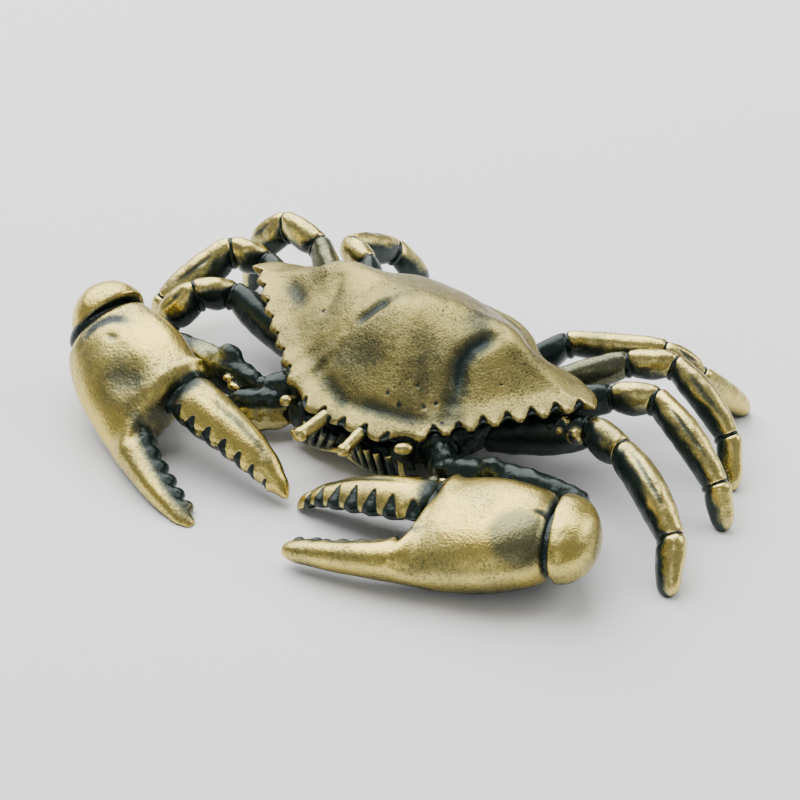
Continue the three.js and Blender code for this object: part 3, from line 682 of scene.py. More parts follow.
# Small pits and nicks: place, half width
SHELL_NICKS = [
    ((2.9, -8.9), 0.16), ((4.4, -9.1), 0.2), ((6.6, -8.1), 0.14), ((-2.2, -0.6), 0.12),
    ((7.4, -7.3), 0.16), ((-8.6, -3.9), 0.12), ((5.2, -7.2), 0.12), ((-4.2, 2.6), 0.12),
    ((8.9, -8.4), 0.14), ((11.9, -3.0), 0.1),
]
# The smooth inner part of the shell is an oval: half width, half depth and its middle's y
SMOOTH_OVAL = (17.5, 10.2)
SMOOTH_MIDDLE = -1.0
# Half widths of the round ends of the margin's teeth, on the left (1) and the right (-1)
TOOTH_ENDS = {1: 0.62, -1: 0.5}
# How the right teeth are drawn in: distances beyond the line of the teeth, before and after
RIGHT_TEETH = ((-5.0, -5.0), (-0.9, -0.75), (0.0, -0.25), (1.0, 0.7))
# The teeth of the front margin stand on a slightly bowed line to each side
MARGIN_START, MARGIN_END = Vector((8.12, -10.455)), Vector((20.3, 0.0))
MARGIN_LENGTH = (MARGIN_END - MARGIN_START).length
MARGIN_ALONG = (MARGIN_END - MARGIN_START) / MARGIN_LENGTH
MARGIN_OUT = Vector((MARGIN_ALONG.y, -MARGIN_ALONG.x))
MARGIN_BOW = 0.41
MARGIN_STEPS = 14


def margin_place(step, beyond):
    """A place beyond the line of the teeth, on the crab's left; even steps are tips."""
    share = step / MARGIN_STEPS
    away = MARGIN_BOW * math.sin(math.pi * share) + beyond
    return MARGIN_START + MARGIN_ALONG * MARGIN_LENGTH * share + MARGIN_OUT * away


def tooth_beads(side):
    """Rounded ends for the teeth of one side of the margin."""
    tree = tree_of("shell")
    radius = TOOTH_ENDS[side]
    beads = []
    for step in range(0, MARGIN_STEPS, 2):
        spot = margin_place(step, -0.42)
        top = tree.ray_cast(at(side * spot.x, spot.y, 20), Vector((0, 0, -1)))[0]
        bottom = tree.ray_cast(at(side * spot.x, spot.y, 0), Vector((0, 0, 1)))[0]
        if top is not None and bottom is not None:
            half = (top.z - bottom.z) / 2 / MM
            beads.append(bead((top + bottom) / 2, (radius, radius, half + 0.12)))
    return beads


def shorten_right_teeth(mesh):
    """Draws the teeth of the right side in."""
    points = points_of(mesh)
    x = (BODY_MIDDLE.x - points[:, 0]) / MM - MARGIN_START.x
    y = (points[:, 1] - BODY_MIDDLE.y) / MM - MARGIN_START.y
    share = (x * MARGIN_ALONG.x + y * MARGIN_ALONG.y) / MARGIN_LENGTH
    beyond = x * MARGIN_OUT.x + y * MARGIN_OUT.y
    beyond -= MARGIN_BOW * np.sin(math.pi * np.clip(share, 0, 1))
    before, after = zip(*RIGHT_TEETH)
    move = np.interp(beyond, before, after) - np.clip(beyond, before[0], before[-1])
    move *= smoothstep(-0.08, 0.04, share) * smoothstep(0.99, 0.9, share)
    points[:, 0] -= MARGIN_OUT.x * move * MM
    points[:, 1] += MARGIN_OUT.y * move * MM
    set_points(mesh, points)


def wedge(x, y, apex, base, half):
    """Where places lie in a wedge that opens from its apex: 1 inside, 0 outside."""
    away, aside = base[0] - apex[0], base[1] - apex[1]
    length = math.hypot(away, aside)
    away, aside = away / length, aside / length
    reach = (x - apex[0]) * away + (y - apex[1]) * aside
    off = np.abs((y - apex[1]) * away - (x - apex[0]) * aside)
    wide = half * np.clip(reach / length, 0, 1) ** 0.8
    return smoothstep(-0.12, 0.12, wide - off) * smoothstep(0.0, 0.25, reach) * (reach < length + 1.5)


def notch(mesh, sheet, wedges, depth):
    """Sinks wedges into the upper face of an edge; gives the darkness in them."""
    x, y, turned = sheet.flatten(mesh)
    mask = np.zeros(len(x))
    for apex, base, half in wedges:
        mask = np.maximum(mask, wedge(x, y, apex, base, half))
    pushed_out(mesh, -mask * turned * depth)
    return mask


def margin_notches():
    """The notches between the teeth along the shell's front as wedges; the right ones are small."""
    wedges = []
    for step in range(1, MARGIN_STEPS, 2):
        for side, inner, half in ((1, -1.3, 0.5), (-1, -1.0, 0.42)):
            apex, base = margin_place(step, inner), margin_place(step, -0.2)
            wedges.append(((side * apex.x, apex.y), (side * base.x, base.y), half))
    for x, y in ((2.44, -12.1), (4.88, -11.9), (0.0, -12.3)):
        for side in (1, -1):
            wedges.append(((side * x, y + 0.6), (side * x, y - 0.3), 0.45))
    return wedges


def dress_shell():
    mesh = rounded_solid("shell", 3)
    smoothed(mesh, 8)
    mesh = melded("shell", [mesh, *tooth_beads(1), *tooth_beads(-1)], 0.14, 2)
    x, y, _ = TOP.flatten(mesh)
    oval = (x / SMOOTH_OVAL[0]) ** 2 + ((y - SMOOTH_MIDDLE) / SMOOTH_OVAL[1]) ** 2
    inner = smoothstep(1.0, 0.7, oval)
    eased(mesh, 60, inner)
    eased(mesh, 8, 1 - inner)
    shorten_right_teeth(mesh)
    cast_lumps(mesh, 0.05, 2.6, 1)
    cast_lumps(mesh, 0.02, 0.9, 2)
    nicks = [([place], width, -0.12, 0.9) for place, width in SHELL_NICKS]
    dark = carve(mesh, TOP, SHELL_STROKES + nicks)
    dark = np.maximum(dark, notch(mesh, TOP, margin_notches(), 0.3) * 0.95)
    x, y, turned = TOP.flatten(mesh)
    tarnish_and_painted_reflection = np.zeros(len(x))
    for line, width, amount in SHELL_TARNISH:
        away = along_line(x, y, line)[0]
        tarnish_and_painted_reflection = np.maximum(tarnish_and_painted_reflection, amount * np.exp(-((away / width) ** 2)) * turned)
    note(mesh, "tarnish_and_painted_reflection", tarnish_and_painted_reflection)
    dark = 1 - (1 - dark) * (1 - 0.42 * tarnish_and_painted_reflection)
    coat(mesh, ("shell",), reach=1.0, hollow=(10, 0.035), extra=dark)
    show_skin("shell", mesh, SHELL_BRASS)


def dress_body():
    mesh = melted_solid("body", 0.16, 6)
    cast_lumps(mesh, 0.22, 1.1, 3)
    cast_lumps(mesh, 0.08, 0.45, 5)
    coat(mesh, ("body",), extra=0.75)
    show_skin("body", mesh, BLACK_PATINA)
    mesh = rounded_solid("tail_flap", 3)
    cast_lumps(mesh, 0.05, 1.2, 4)
    coat(mesh, ("tail_flap",))
    show_skin("tail_flap", mesh, LEG_BRASS)


# Claws: each is drawn round its wrist, with one direction to the finger tips, one from the
# movable finger's side to the fixed finger's side, and one out of the broad upper face.
CLAW_LENGTH, PALM_HEIGHT, PALM_THICKNESS = 25.5, 11.9, 6.8
CLAWS = {
    "left": {"wrist": (25.6, -15.2, 5.24), "heading": 199.4, "fall": 10.0, "roll": 14.0, "gape": 1.0},
    "right": {"wrist": (27.2, -15.5, 6.7), "heading": 201.5, "fall": 15.5, "roll": 31.5, "gape": 6.5},
}
# Where the movable finger turns, in shares of the claw's length and height
KNUCKLE = (0.45, -0.42)


class Claw:
    """The directions of one claw and places on it."""

    def __init__(self, side):
        pose = CLAWS[side]
        heading, fall, roll = (math.radians(pose[key]) for key in ("heading", "fall", "roll"))
        self.flip = SIDES[side]
        self.gape = math.radians(pose["gape"])
        self.wrist = Vector(pose["wrist"])
        along = Vector(
            (math.cos(heading) * math.cos(fall), math.sin(heading) * math.cos(fall), -math.sin(fall))
        )
        level = -along.cross(Vector((0, 0, 1))).normalized()
        crown = -level.cross(along).normalized()
        self.along = along
        self.outer = level * math.cos(roll) - crown * math.sin(roll)
        self.face = crown * math.cos(roll) + level * math.sin(roll)

    def turned(self, vector, opened=False):
        """A direction of the claw, turned with the movable finger if it is opened, in the scene."""
        if opened:
            vector = Matrix.Rotation(-self.gape, 3, self.face) @ vector
        return Vector((vector.x * self.flip, vector.y, vector.z))

    def place(self, along, across, lift, opened=False):
        """A place from millimetres along, across and out of the claw."""
        spot = self.along * along + self.outer * across + self.face * lift
        if opened:
            knuckle = self.along * KNUCKLE[0] * CLAW_LENGTH + self.outer * KNUCKLE[1] * PALM_HEIGHT
            spot = knuckle + Matrix.Rotation(-self.gape, 3, self.face) @ (spot - knuckle)
        spot = self.wrist + spot
        return at(spot.x * self.flip, spot.y, spot.z)

    def axes(self, opened):
        """The three directions of the claw, in the scene."""
        return [self.turned(way, opened) for way in (self.along, self.outer, self.face)]

    def bead(self, along, across, lift, sizes, opened=False, faces=16):
        """A bead on the claw, its half sizes along, across and out of it."""
        ahead, _, out = self.axes(opened)
        return bead(self.place(along, across, lift, opened), sizes, ahead, out, faces)

    def sheet(self, opened=False, facing=0.25):
        """A sheet over the broad face of the claw."""
        return Sheet(self.place(0, 0, 0, opened), *self.axes(opened), facing)


# The biting edge of each finger in shares of the claw's sizes: along, across, lift, thickness
MOVABLE_EDGE = np.array([
    (0.54, -0.1, 0.06, 0.6), (0.61, -0.15, 0.06, 0.58), (0.71, -0.19, 0.05, 0.5),
    (0.82, -0.23, 0.0, 0.44), (0.91, -0.26, -0.08, 0.36), (0.985, -0.28, -0.18, 0.26),
])
FIXED_EDGE = np.array([
    (0.5, 0.11, 0.16, 0.56), (0.6, 0.16, 0.19, 0.48), (0.7, 0.18, 0.21, 0.42),
    (0.8, 0.19, 0.22, 0.36), (0.9, 0.19, 0.22, 0.28),
])


def edge_at(edge, along):
    """Where a biting edge runs at a length along the claw: across, lift and thickness."""
    share = along / CLAW_LENGTH
    across, lift, thick = (np.interp(share, edge[:, 0], edge[:, column]) for column in (1, 2, 3))
    return across * PALM_HEIGHT, lift * PALM_THICKNESS, thick * PALM_THICKNESS


# The notches of the movable fingers. The lean turns the drawing from the broad face towards the
# biting side; the limit is how low the edge hangs along the finger. A notch has the place of its
# point, and the place and half width of the dark lobe at its foot.
BITES = {
    "left": {
        "lean": (0.75, -0.66),
        "limit": ((13.0, -1.3), (17.6, -1.7), (19.6, -1.9), (21.6, -2.1), (23.4, -2.25), (26.0, -1.8)),
        "notches": (
            (24.3, -3.7, 24.6, 0.5), (23.0, -4.35, 23.2, 0.7), (21.1, -4.6, 21.6, 0.86),
            (19.25, -4.6, 19.6, 0.97), (17.2, -4.4, 17.6, 1.02), (15.2, -4.0, 15.4, 1.0),
        ),
    },
    "right": {
        "lean": (1.0, 0.0),
        "limit": ((13.0, -1.1), (15.6, -1.6), (18.0, -2.05), (21.0, -2.45), (23.4, -2.75), (26.0, -2.6)),
        "notches": (
            (24.2, -3.9, 24.5, 0.55), (22.6, -4.0, 22.9, 0.68), (20.9, -3.9, 21.2, 0.8),
            (19.0, -3.7, 19.3, 0.88), (17.0, -3.4, 17.3, 0.92), (15.0, -3.0, 15.3, 0.95),
        ),
    },
}


def bitten(mesh, claw, side):
    """Works the biting edge of a movable finger into dark lobes; gives the darkness there."""
    bite = BITES[side]
    to_side, to_face = bite["lean"]
    down = claw.turned(claw.outer * to_side + claw.face * to_face, True)
    out = claw.turned(claw.face * to_side - claw.outer * to_face, True)
    sheet = Sheet(claw.place(0, 0, 0, True), claw.turned(claw.along, True), down, out, -0.1)
    steps, depths = zip(*bite["limit"])
    along, low, _ = sheet.flatten(mesh)
    eased(mesh, 120, smoothstep(-1.3, -0.3, low - np.interp(along, steps, depths)))

    along, low, _ = sheet.flatten(mesh)
    lobes = np.zeros(len(along))
    for _, _, base, half in bite["notches"]:
        lobes = np.maximum(lobes, np.sqrt(np.clip(1 - ((along - base) / half) ** 2, 0, 1)))
    limit = np.interp(along, steps, depths) + 0.45 * (lobes - 1) * smoothstep(25.6, 24.4, along)
    over = low - limit
    points = points_of(mesh) - np.maximum(over, 0)[:, None] * 0.8 * MM * np.array(down)
    set_points(mesh, points)
    eased(mesh, 4)

    along, low, turned = sheet.flatten(mesh)
    dark = smoothstep(0.1, 0.45, over)
    rise = np.zeros(len(along))
    for point_along, point_low, base, half in bite["notches"]:
        foot = np.interp(base, steps, depths)
        inside = wedge(along, low, (point_along, point_low), (base, foot + 0.25), half) * turned
        dark = np.maximum(dark, inside)
        lobe = np.exp(-(((along - base) / (0.75 * half)) ** 2) - ((low - foot + 0.55) / 0.6) ** 2)
        rise += 0.42 * half * lobe * turned - 0.14 * inside
    pushed_out(mesh, rise)
    return dark


def edge_line(edge, first, last):
    """A line along a biting edge, in millimetres on the claw's sheet."""
    return [(along, edge_at(edge, along)[0]) for along in np.linspace(first, last, 9)]


# Strokes on the palms, along and across the claw: dents, dimple, swellings and dark tooth feet
PALM_STROKES = {
    "left": [
        ([(1.1, -1.2), (0.0, -1.25), (-0.6, -0.9)], 0.3, -0.12, 0.6),
        ([(10.5, -3.3), (9.3, -3.7)], 1.0, -0.06, 0.2),
        ([(7.2, -0.4)], 2.2, 0.14, 0.0),
        ([(11.5, -4.6), (11.6, -1.8), (11.8, 0.6)], 0.5, 0.1, 0.0),
        ([(12.5, 1.9), (15.5, 2.6), (18.5, 2.75), (21.5, 2.8)], 0.4, -0.1, 0.5),
        ([(21.4, 2.2)], 0.6, 0.0, 0.9),
        ([(23.2, 2.1)], 0.6, 0.0, 0.9),
    ],
    "right": [
        ([(1.5, 1.9), (0.8, 0.6), (0.7, -0.6), (1.1, -1.9), (1.9, -2.9), (3.0, -3.8)], 0.62, -0.18, 0.8),
        ([(3.1, -1.1), (3.5, -1.4)], 0.45, -0.1, 0.4),
        ([(7.9, -0.2)], 2.3, -0.42, 0.3),
        ([(7.4, 0.6), (8.6, -0.6)], 1.7, -0.06, 0.46),
        ([(10.7, -0.2), (10.4, -2.4), (9.6, -4.2)], 0.8, 0.2, 0.0),
        ([(12.3, 0.8), (11.9, -0.6), (11.4, -2.4)], 0.45, 0.12, 0.0),
        ([(14.0, 4.2), (18.0, 4.4), (22.0, 4.0)], 0.8, 0.12, 0.0),
    ],
}
# The dark under the movable finger's root
PALM_HINGE_STROKE = (
    [(11.6, -8.0), (11.9, -5.6), (12.1, -3.5), (12.5, -1.0), (12.8, 1.5)], 0.75, 0.0, 0.95
)
# The groove along the outer edge of the movable finger, and the dark across its root
MOVABLE_STROKES = [
    ([(24.2, -4.95), (22.0, -5.4), (19.4, -5.55), (16.6, -5.3), (14.2, -4.8)], 0.4, -0.12, 0.42),
    ([(12.0, -6.2), (11.8, -3.6), (11.9, -1.2)], 1.05, -0.1, 0.85),
]
# Darker patches on the palms, in the veil colour: a painted reflection of a dark thing on the left palm,
# and a darkening over the dimple on the right one. Each has its place along and across, a half width and
# how dark
PALM_DARK_PATCHES = {"left": ((1.9, 1.6), 2.7, 0.85), "right": ((8.0, 0.2), 2.8, 0.5)}
# An oblong knob on the right palm's upper edge: place on the crab, direction, half sizes
PALM_KNOB = ((-15.2, -14.9, 6.9), (0.59, -0.25, -0.76), (1.5, 0.8, 0.9))
# The two cheeks beside the knuckle, on the claw: place, half sizes
KNUCKLE_CHEEKS = [((10.3, -5.35, 0.9), (1.7, 0.8, 1.1)), ((10.6, -4.6, 0.6), (1.4, 1.3, 1.3))]
# Dark metal deep in the wrist groove and behind the movable finger: place, half sizes, faces
WRIST_CORES = {
    "left": ((-0.8, -0.1, 0.0), (1.7, 3.5, 2.4), 32),
    "right": ((-0.8, -0.5, 0.0), (1.7, 3.5, 2.4), 32),
}
KNUCKLE_CORE = ((11.6, -3.2, 0.35), (1.0, 2.2, 1.5), 24)
# The fixed fingers' small teeth along the claw, and how wide the dark edge is
FIXED_TEETH = {"left": ((21.4, 23.2), 0.5), "right": ((13.4, 15.2, 17.0, 18.8, 20.6, 22.3), 0.85)}


def dress_palm(side, claw, seed):
    """The palm with its fixed finger: cheeks by the knuckle, small teeth, dents and a dark patch."""
    shapes = [claw.bead(*place, sizes, faces=24) for place, sizes in KNUCKLE_CHEEKS]
    teeth, band = FIXED_TEETH[side]
    for along in teeth:
        across, lift, thick = edge_at(FIXED_EDGE, along)
        shapes.append(claw.bead(along, across + 0.1, lift - 0.1 * thick, (0.75, 0.75, 0.4 * thick)))
    if side == "right":
        place, direction, sizes = PALM_KNOB
        shapes.append(bead(at(*place), sizes, Vector(direction), claw.turned(claw.face)))
    name = f"{side}_palm"
    mesh = rounded_solid(name, 3)
    smoothed(mesh, 8)
    mesh = melded(name, [mesh, *shapes], 0.14, 2)
    along = claw.sheet().flatten(mesh)[0]
    eased(mesh, 34, smoothstep(20.0, 15.0, along) * 0.85 + 0.15)
    cast_lumps(mesh, 0.05, 2.2, seed)
    dark = carve(mesh, claw.sheet(), PALM_STROKES[side])
    hidden = [(edge_line(FIXED_EDGE, 10.4, 25.0), band, -0.02, 1.0), PALM_HINGE_STROKE]
    dark = np.maximum(dark, carve(mesh, claw.sheet(facing=-0.6), hidden))
    coat(mesh, (name,), reach=1.1, hollow=(8, 0.035), extra=dark, reached=(0.4, 1.0))
    # The dark patch: on the left palm a painted reflection of a dark thing, on the right one darker over
    # the dimple
    x, y, turned = claw.sheet().flatten(mesh)
    (along, across), half, patch_darkness = PALM_DARK_PATCHES[side]
    away = np.hypot(x - along, y - across) / half
    note(mesh, "tarnish_and_painted_reflection", patch_darkness * smoothstep(1.25, 0.75, away) * turned)
    show_skin(name, mesh, CLAW_BRASS)


def dress_movable_finger(side, claw, seed):
    """The movable finger with its notched biting edge and a swelling at its root."""
    name = f"{side}_movable_finger"
    mesh = rounded_solid(name, 3)
    smoothed(mesh, 4)
    across, lift, thick = edge_at(MOVABLE_EDGE, 12.9)
    root = claw.bead(12.9, across - 0.1, lift - 0.1 * thick, (1.1, 1.2, 0.42 * thick), True)
    mesh = melded(name, [mesh, root], 0.11, 2)
    dark = bitten(mesh, claw, side)
    cast_lumps(mesh, 0.04, 1.6, seed)
    dark = np.maximum(dark, carve(mesh, claw.sheet(True), MOVABLE_STROKES))
    shadow = [((13.1, across - 1.6), (12.7, across + 1.4), 1.5)]
    dark = np.maximum(dark, notch(mesh, claw.sheet(True), shadow, 0.1))
    coat(mesh, (name,), reach=1.1, hollow=(8, 0.07), extra=dark, reached=(0.3, 1.0))
    show_skin(name, mesh, CLAW_BRASS)


def dress_wrist(side, seed):
    """The smooth cap behind the palm."""
    name = f"{side}_wrist"
    mesh = melted_solid(name, 0.13, 16)
    smoothed(mesh, 20)
    eased(mesh, 40)
    cast_lumps(mesh, 0.05, 1.8, seed)
    coat(mesh, (name,), reach=1.2, reached=(0.3, 1.0))
    show_skin(name, mesh, CLAW_BRASS)


def show_claw_cores(side, claw):
    """Dark metal deep in the wrist groove and behind the movable finger."""
    name = f"{side}_claw_cores"
    cores = (WRIST_CORES[side], KNUCKLE_CORE)
    mesh = joined([claw.bead(*place, sizes, faces=faces) for place, sizes, faces in cores], name)
    coat(mesh, (), extra=0.9)
    show(name, mesh, BLACK_PATINA)


def dress_claws():
    for number, side in enumerate(SIDES):
        claw = Claw(side)
        dress_palm(side, claw, 10 + number)
        dress_movable_finger(side, claw, 20 + number)
        dress_wrist(side, 30 + number)
        show_claw_cores(side, claw)


def points_near(name, other, reach):
    """The corners of one solid that lie close to another."""
    tree = tree_of(other)
    shape = merged_solid(name)
    near = [v.co.copy() for v in shape.verts if tree.find_nearest(v.co, reach)[0] is not None]
    shape.free()
    return near


class Joint:
    """Where two solids meet: its middle, the direction through it and its own size."""

    def __init__(self, inner, outer):
        near, reach = [], 0.5 * MM
        while len(near) < 8:
            reach *= 1.5
            near = points_near(inner, outer, reach) + points_near(outer, inner, reach)
        spots = np.array(near)
        middle = spots.mean(0)
        _, directions = np.linalg.eigh(np.cov((spots - middle).T))
        self.middle = Vector(middle)
        self.through, _, self.wide = (Vector(directions[:, i]) for i in range(3))
        self.reach = np.abs((spots - middle) @ directions).max(0) / MM

    def core(self, share, thick):
        """A bead inside the joint, so that nothing shows through it."""
        sizes = (thick, self.reach[1] * share, self.reach[2] * share)
        return bead(self.middle, sizes, self.through, self.wide, 24)


def show_cores(name, joints, share, thick, worn=None):
    """Shows the beads inside joints, black, or in brass with patina and painted shade on the sides that
    face `worn`.
    """
    mesh = joined([joint.core(share, thick) for joint in joints], name)
    if worn is None:
        coat(mesh, (), extra=0.8)
        show(name, mesh, BLACK_PATINA)
    else:
        coat(mesh, (), extra=0.5, shade=worn, reached=(-0.3, 0.25))
        show(name, mesh, LEG_BRASS)


# Worn places on the arms of the claws with their half sizes, drawn on the crab's left: knobs on
# the upper arm, its spine, and the foot of the shoulder with the direction in which it lies.
# The worn elbow is on the crab's right.
ARM_KNOBS = [
    ((14.3, -11.75, 4.85), (0.6, 0.4, 0.45)),
    ((13.4, -11.95, 4.35), (0.75, 0.4, 0.4)),
    ((11.6, -11.7, 3.7), (0.7, 0.4, 0.4)),
]
ARM_SPINE = ((15.6, -9.7, 5.9), (1.5, 1.1, 1.3))
WORN_ELBOW = (-17.6, -10.6, 5.6)
SHOULDER_FEET = {
    "left": ((10.4, -11.6, 3.0), (1.0, 0.8, 0.8), (1, 0, 0)),
    "right": ((10.4, -12.3, 2.2), (3.7, 1.2, 1.45), (0.81, 0.5, 0)),
}


def worn_beads(mesh, spots, side, dark):
    """Clears the patina where polishing reached beads."""
    for spot, sizes in spots:
        away = points_of(mesh) - np.array(beside(side, spot))
        away = np.linalg.norm(away / (np.array(sizes) * MM), axis=1)
        dark = dark * smoothstep(0.95, 1.4, away)
    return dark


def dress_shoulder(side, seed):
    """The inner arm segment with its worn foot."""
    name = f"{side}_shoulder"
    (x, y, z), sizes, direction = SHOULDER_FEET[side]
    foot = bead(beside(side, (x, y, z)), sizes, Vector(direction), faces=24)
    heel = bead(beside(side, (x, y + 0.9, z + 1.3)), sizes, Vector(direction), faces=24)
    mesh = melded(name, [rounded_solid(name, 2), foot, heel], 0.12, 2)
    eased(mesh, 20)
    cast_lumps(mesh, 0.14, 0.8, seed)
    points = (points_of(mesh) - np.array(beside(side, (x, y, z)))) / MM
    away = np.hypot(points[:, 0], points[:, 1])
    low = smoothstep(1.7, 1.1, points[:, 2]) * smoothstep(sizes[0] + 0.9, sizes[0], away)
    worn = 1.0 if side == "right" else 0.4
    coat(mesh, (name,), extra=0.85 * (1 - low * worn), reached=(0.3, 1.0))
    note(mesh, "tarnish_and_painted_reflection", 0.55)
    show_skin(name, mesh, ARM_BRASS)


def dress_upper_arm(side, seed):
    """The outer arm segment with its spine and knobs, and a worn place on the right one."""
    name = f"{side}_upper_arm"
    spine, *knobs = [bead(beside(side, spot), half) for spot, half in (ARM_SPINE, *ARM_KNOBS)]
    mesh = melded(name, [melted_solid(name, 0.13, 8), spine], 0.13, 2)
    eased(mesh, 30)
    mesh = melded(name, [mesh, *knobs], 0.12, 2)
    cast_lumps(mesh, 0.12, 1.0, seed)
    dark = worn_beads(mesh, ARM_KNOBS, side, 0.8)
    if side == "right":
        away = np.linalg.norm(points_of(mesh) - np.array(at(*WORN_ELBOW)), axis=1) / MM
        dark *= smoothstep(1.2, 3.0, away) * 0.5 + 0.5
    coat(mesh, (name,), extra=dark, reached=(0.0, 0.6))
    show_skin(name, mesh, ARM_BRASS)


def dress_arms():
    for number, side in enumerate(SIDES):
        dress_shoulder(side, 45 + number)
        dress_upper_arm(side, 40 + number)
        shoulder, upper_arm = f"{side}_shoulder", f"{side}_upper_arm"
        joints = [
            Joint(shoulder, upper_arm), Joint("body", shoulder), Joint(upper_arm, f"{side}_wrist")
        ]
        show_cores(f"{side}_arm_cores", joints, 1.05, 1.2)


LEG_PARTS = ("thigh", "knee", "shin", "toe")
# How far the patina was left on each leg's thigh, front to rear, and on every knee
THIGH_PATINA = (0.85, 0.8, 0.45, 0.85)
KNEE_PATINA = 0.12
# A worn knob on the front of each first thigh, drawn on the crab's left, and grains beside it
THIGH_KNOB = ((19.35, -1.2, 6.4), (0.85, 0.85, 0.85))
THIGH_GRAINS = [
    (18.3, -1.2, 7.5), (17.6, -1.8, 7.2), (18.6, -1.5, 7.0), (17.2, -1.5, 7.6), (18.9, -0.9, 7.4),
    (17.0, -2.1, 7.0), (18.0, -2.0, 6.8), (16.4, -1.9, 7.4), (17.9, -1.1, 7.8),
]


def first_thigh(mesh, name, side):
    """The first leg's thigh with its knob and grains melted on."""
    tree = tree_of(name)
    spot, sizes = THIGH_KNOB
    grains = [bead(beside(side, spot), sizes)]
    for turn, spot in enumerate(THIGH_GRAINS):
        size = 0.3 + 0.06 * (turn % 3)
        surface = tree.find_nearest(beside(side, spot))[0]
        grains.append(bead(surface, (size, size, size), faces=12))
    return melded(name, [mesh, *grains], 0.1, 1)


# The groove of a shin: shares of its length, and millimetres aside on the crab's left
SHIN_LINE = ((0.15, 0.25), (0.5, 0.4), (0.85, 0.2))


def shin_groove(mesh, start, end, flip):
    """A faint groove along the shin; gives its darkness."""
    along = end - start
    length = along.length / MM
    across = along.cross(Vector((0, 0, 1))).normalized()
    out = across.cross(along).normalized()
    ridge = Sheet(start, along.normalized(), across, out, 0.1)
    line = [(share * length, aside * flip) for share, aside in SHIN_LINE]
    return carve(mesh, ridge, [(line, 0.22, -0.07, 0.55)])


def dress_legs():
    for side in SIDES:
        flip = SIDES[side]
        # The sides that turn down and towards the body are darker: patina together with painted shade
        # and a painted reflection of the dark surroundings
        shade = (-0.75 * flip, -0.25, -0.75)
        reached = (-0.3, 0.25) if side == "left" else (-0.05, 0.5)
        cores = []
        for number in range(1, 5):
            names = [f"{side}_leg_{number}_{part}" for part in LEG_PARTS]
            joints = [Joint(inner, outer) for inner, outer in zip(names, names[1:])]
            cores += joints
            for i, name in enumerate(names):
                mesh = melded(name, [rounded_solid(name, 2)], 0.1, 2)
                eased(mesh, 8)
                # Moved out, so that the joints close to fine grooves
                pushed_out(mesh, 0.13)
                grained = i == 0 and number == 1
                if grained:
                    mesh = first_thigh(mesh, name, side)
                cast_lumps(mesh, 0.08, 1.2, number * 4 + i)
                dark = (THIGH_PATINA[number - 1], KNEE_PATINA, 0.0, 0.0)[i]
                if LEG_PARTS[i] == "shin":
                    groove = shin_groove(mesh, joints[1].middle, joints[2].middle, flip)
                    dark = np.maximum(dark, groove)
                if grained:
                    bright = [(spot, (0.34, 0.34, 0.34)) for spot in THIGH_GRAINS[::2]]
                    dark = worn_beads(mesh, [THIGH_KNOB, *bright], side, dark)
                # In the leg's own joints the patina is only a thin seam
                others = set(NODES) - set(names)
                seam = smoothstep(0.5, 0.86, nearness(points_of(mesh), others | {name}, 0.8 * MM))
                dark = 1 - (1 - dark) * (1 - 0.7 * seam)
                coat(mesh, names, reach=0.8, extra=dark, shade=shade, reached=reached)
                show_skin(name, mesh, LEG_BRASS)
        show_cores(f"{side}_leg_cores", cores, 1.12, 0.7, worn=shade)


# Ribs of the mouth, drawn on the crab's left: upper end, lower end
MOUTH_RIBS = [
    ((0.9, -12.15, 4.3), (1.75, -12.05, 2.3)),
    ((1.95, -12.3, 4.3), (2.75, -12.2, 2.15)),
    ((3.0, -12.35, 4.3), (3.75, -12.25, 2.05)),
    ((4.1, -12.3, 4.3), (4.75, -12.2, 1.95)),
    ((5.25, -12.0, 4.3), (5.75, -11.95, 1.95)),
    ((6.35, -11.6, 4.3), (6.7, -11.55, 1.95)),
]
# The rim below the ribs, from the middle to the side
MOUTH_RIM = [
    (0.2, -12.0, 2.45), (2.2, -12.2, 2.0), (4.4, -12.15, 1.75), (6.4, -11.6, 1.7), (7.9, -10.7, 1.9),
]
# Eyes and feelers: foot, head, radius of the rod, half sizes of the head along R, across and up
STALKS = {
    "left_eye": ((7.0, -10.9, 5.5), (7.2, -12.2, 6.0), 0.42, (0.95, 0.6, 0.6)),
    "right_eye": ((-6.4, -11.0, 5.3), (-6.6, -12.4, 5.8), 0.42, (0.66, 0.62, 0.6)),
    "left_feeler": ((2.3, -12.1, 5.9), (2.1, -14.8, 5.15), 0.58, (0.7, 0.72, 0.7)),
    "right_feeler": ((-1.8, -12.1, 6.0), (-2.7, -15.2, 5.15), 0.66, (0.8, 0.8, 0.8)),
}

# Half of how far the mouth reaches to each side
MOUTH_REACH = {"left": 3.9, "right": 2.7}
# How many of the ribs and of the rim's places show on each side
RIBS_SHOWN = {"left": 6, "right": 4}
RIM_SHOWN = {"left": 5, "right": 4}
RIB_RADII = (0.42, 0.38)
RIM_RADIUS = 0.36


def dress_stalk(name):
    """An eye or a feeler: a rod with a rounded head."""
    foot, head, radius, sizes = STALKS[name]
    foot, head = at(*foot), at(*head)
    shapes = [
        rod(foot, head, radius * 1.1, radius, faces=32),
        bead(head, sizes, Vector((0.81, 0.59, 0)), faces=32),
    ]
    mesh = melded(name, shapes, 0.07, 3)
    eased(mesh, 8)
    cast_lumps(mesh, 0.02, 0.6, 70)
    coat(mesh, (name,), reach=0.6, reached=(0.1, 0.6))
    show_skin(name, mesh, ARM_BRASS)


def dress_jaw(side):
    """The rounded jaw below the shell's front."""
    name = f"{side}_jaw"
    reach = MOUTH_REACH[side]
    basket = bead(beside(side, (reach, -11.1, 3.05)), (reach, 1.05, 1.6), faces=32)
    corner = bead(beside(side, (5.9, -11.0, 3.7)), (1.3, 1.1, 1.7), faces=24)
    mesh = melded(name, [melted_solid(name, 0.09, 6), basket, corner], 0.1, 4)
    cast_lumps(mesh, 0.06, 0.7, 60)
    coat(mesh, (name,), extra=0.9)
    show_skin(name, mesh, BLACK_PATINA)


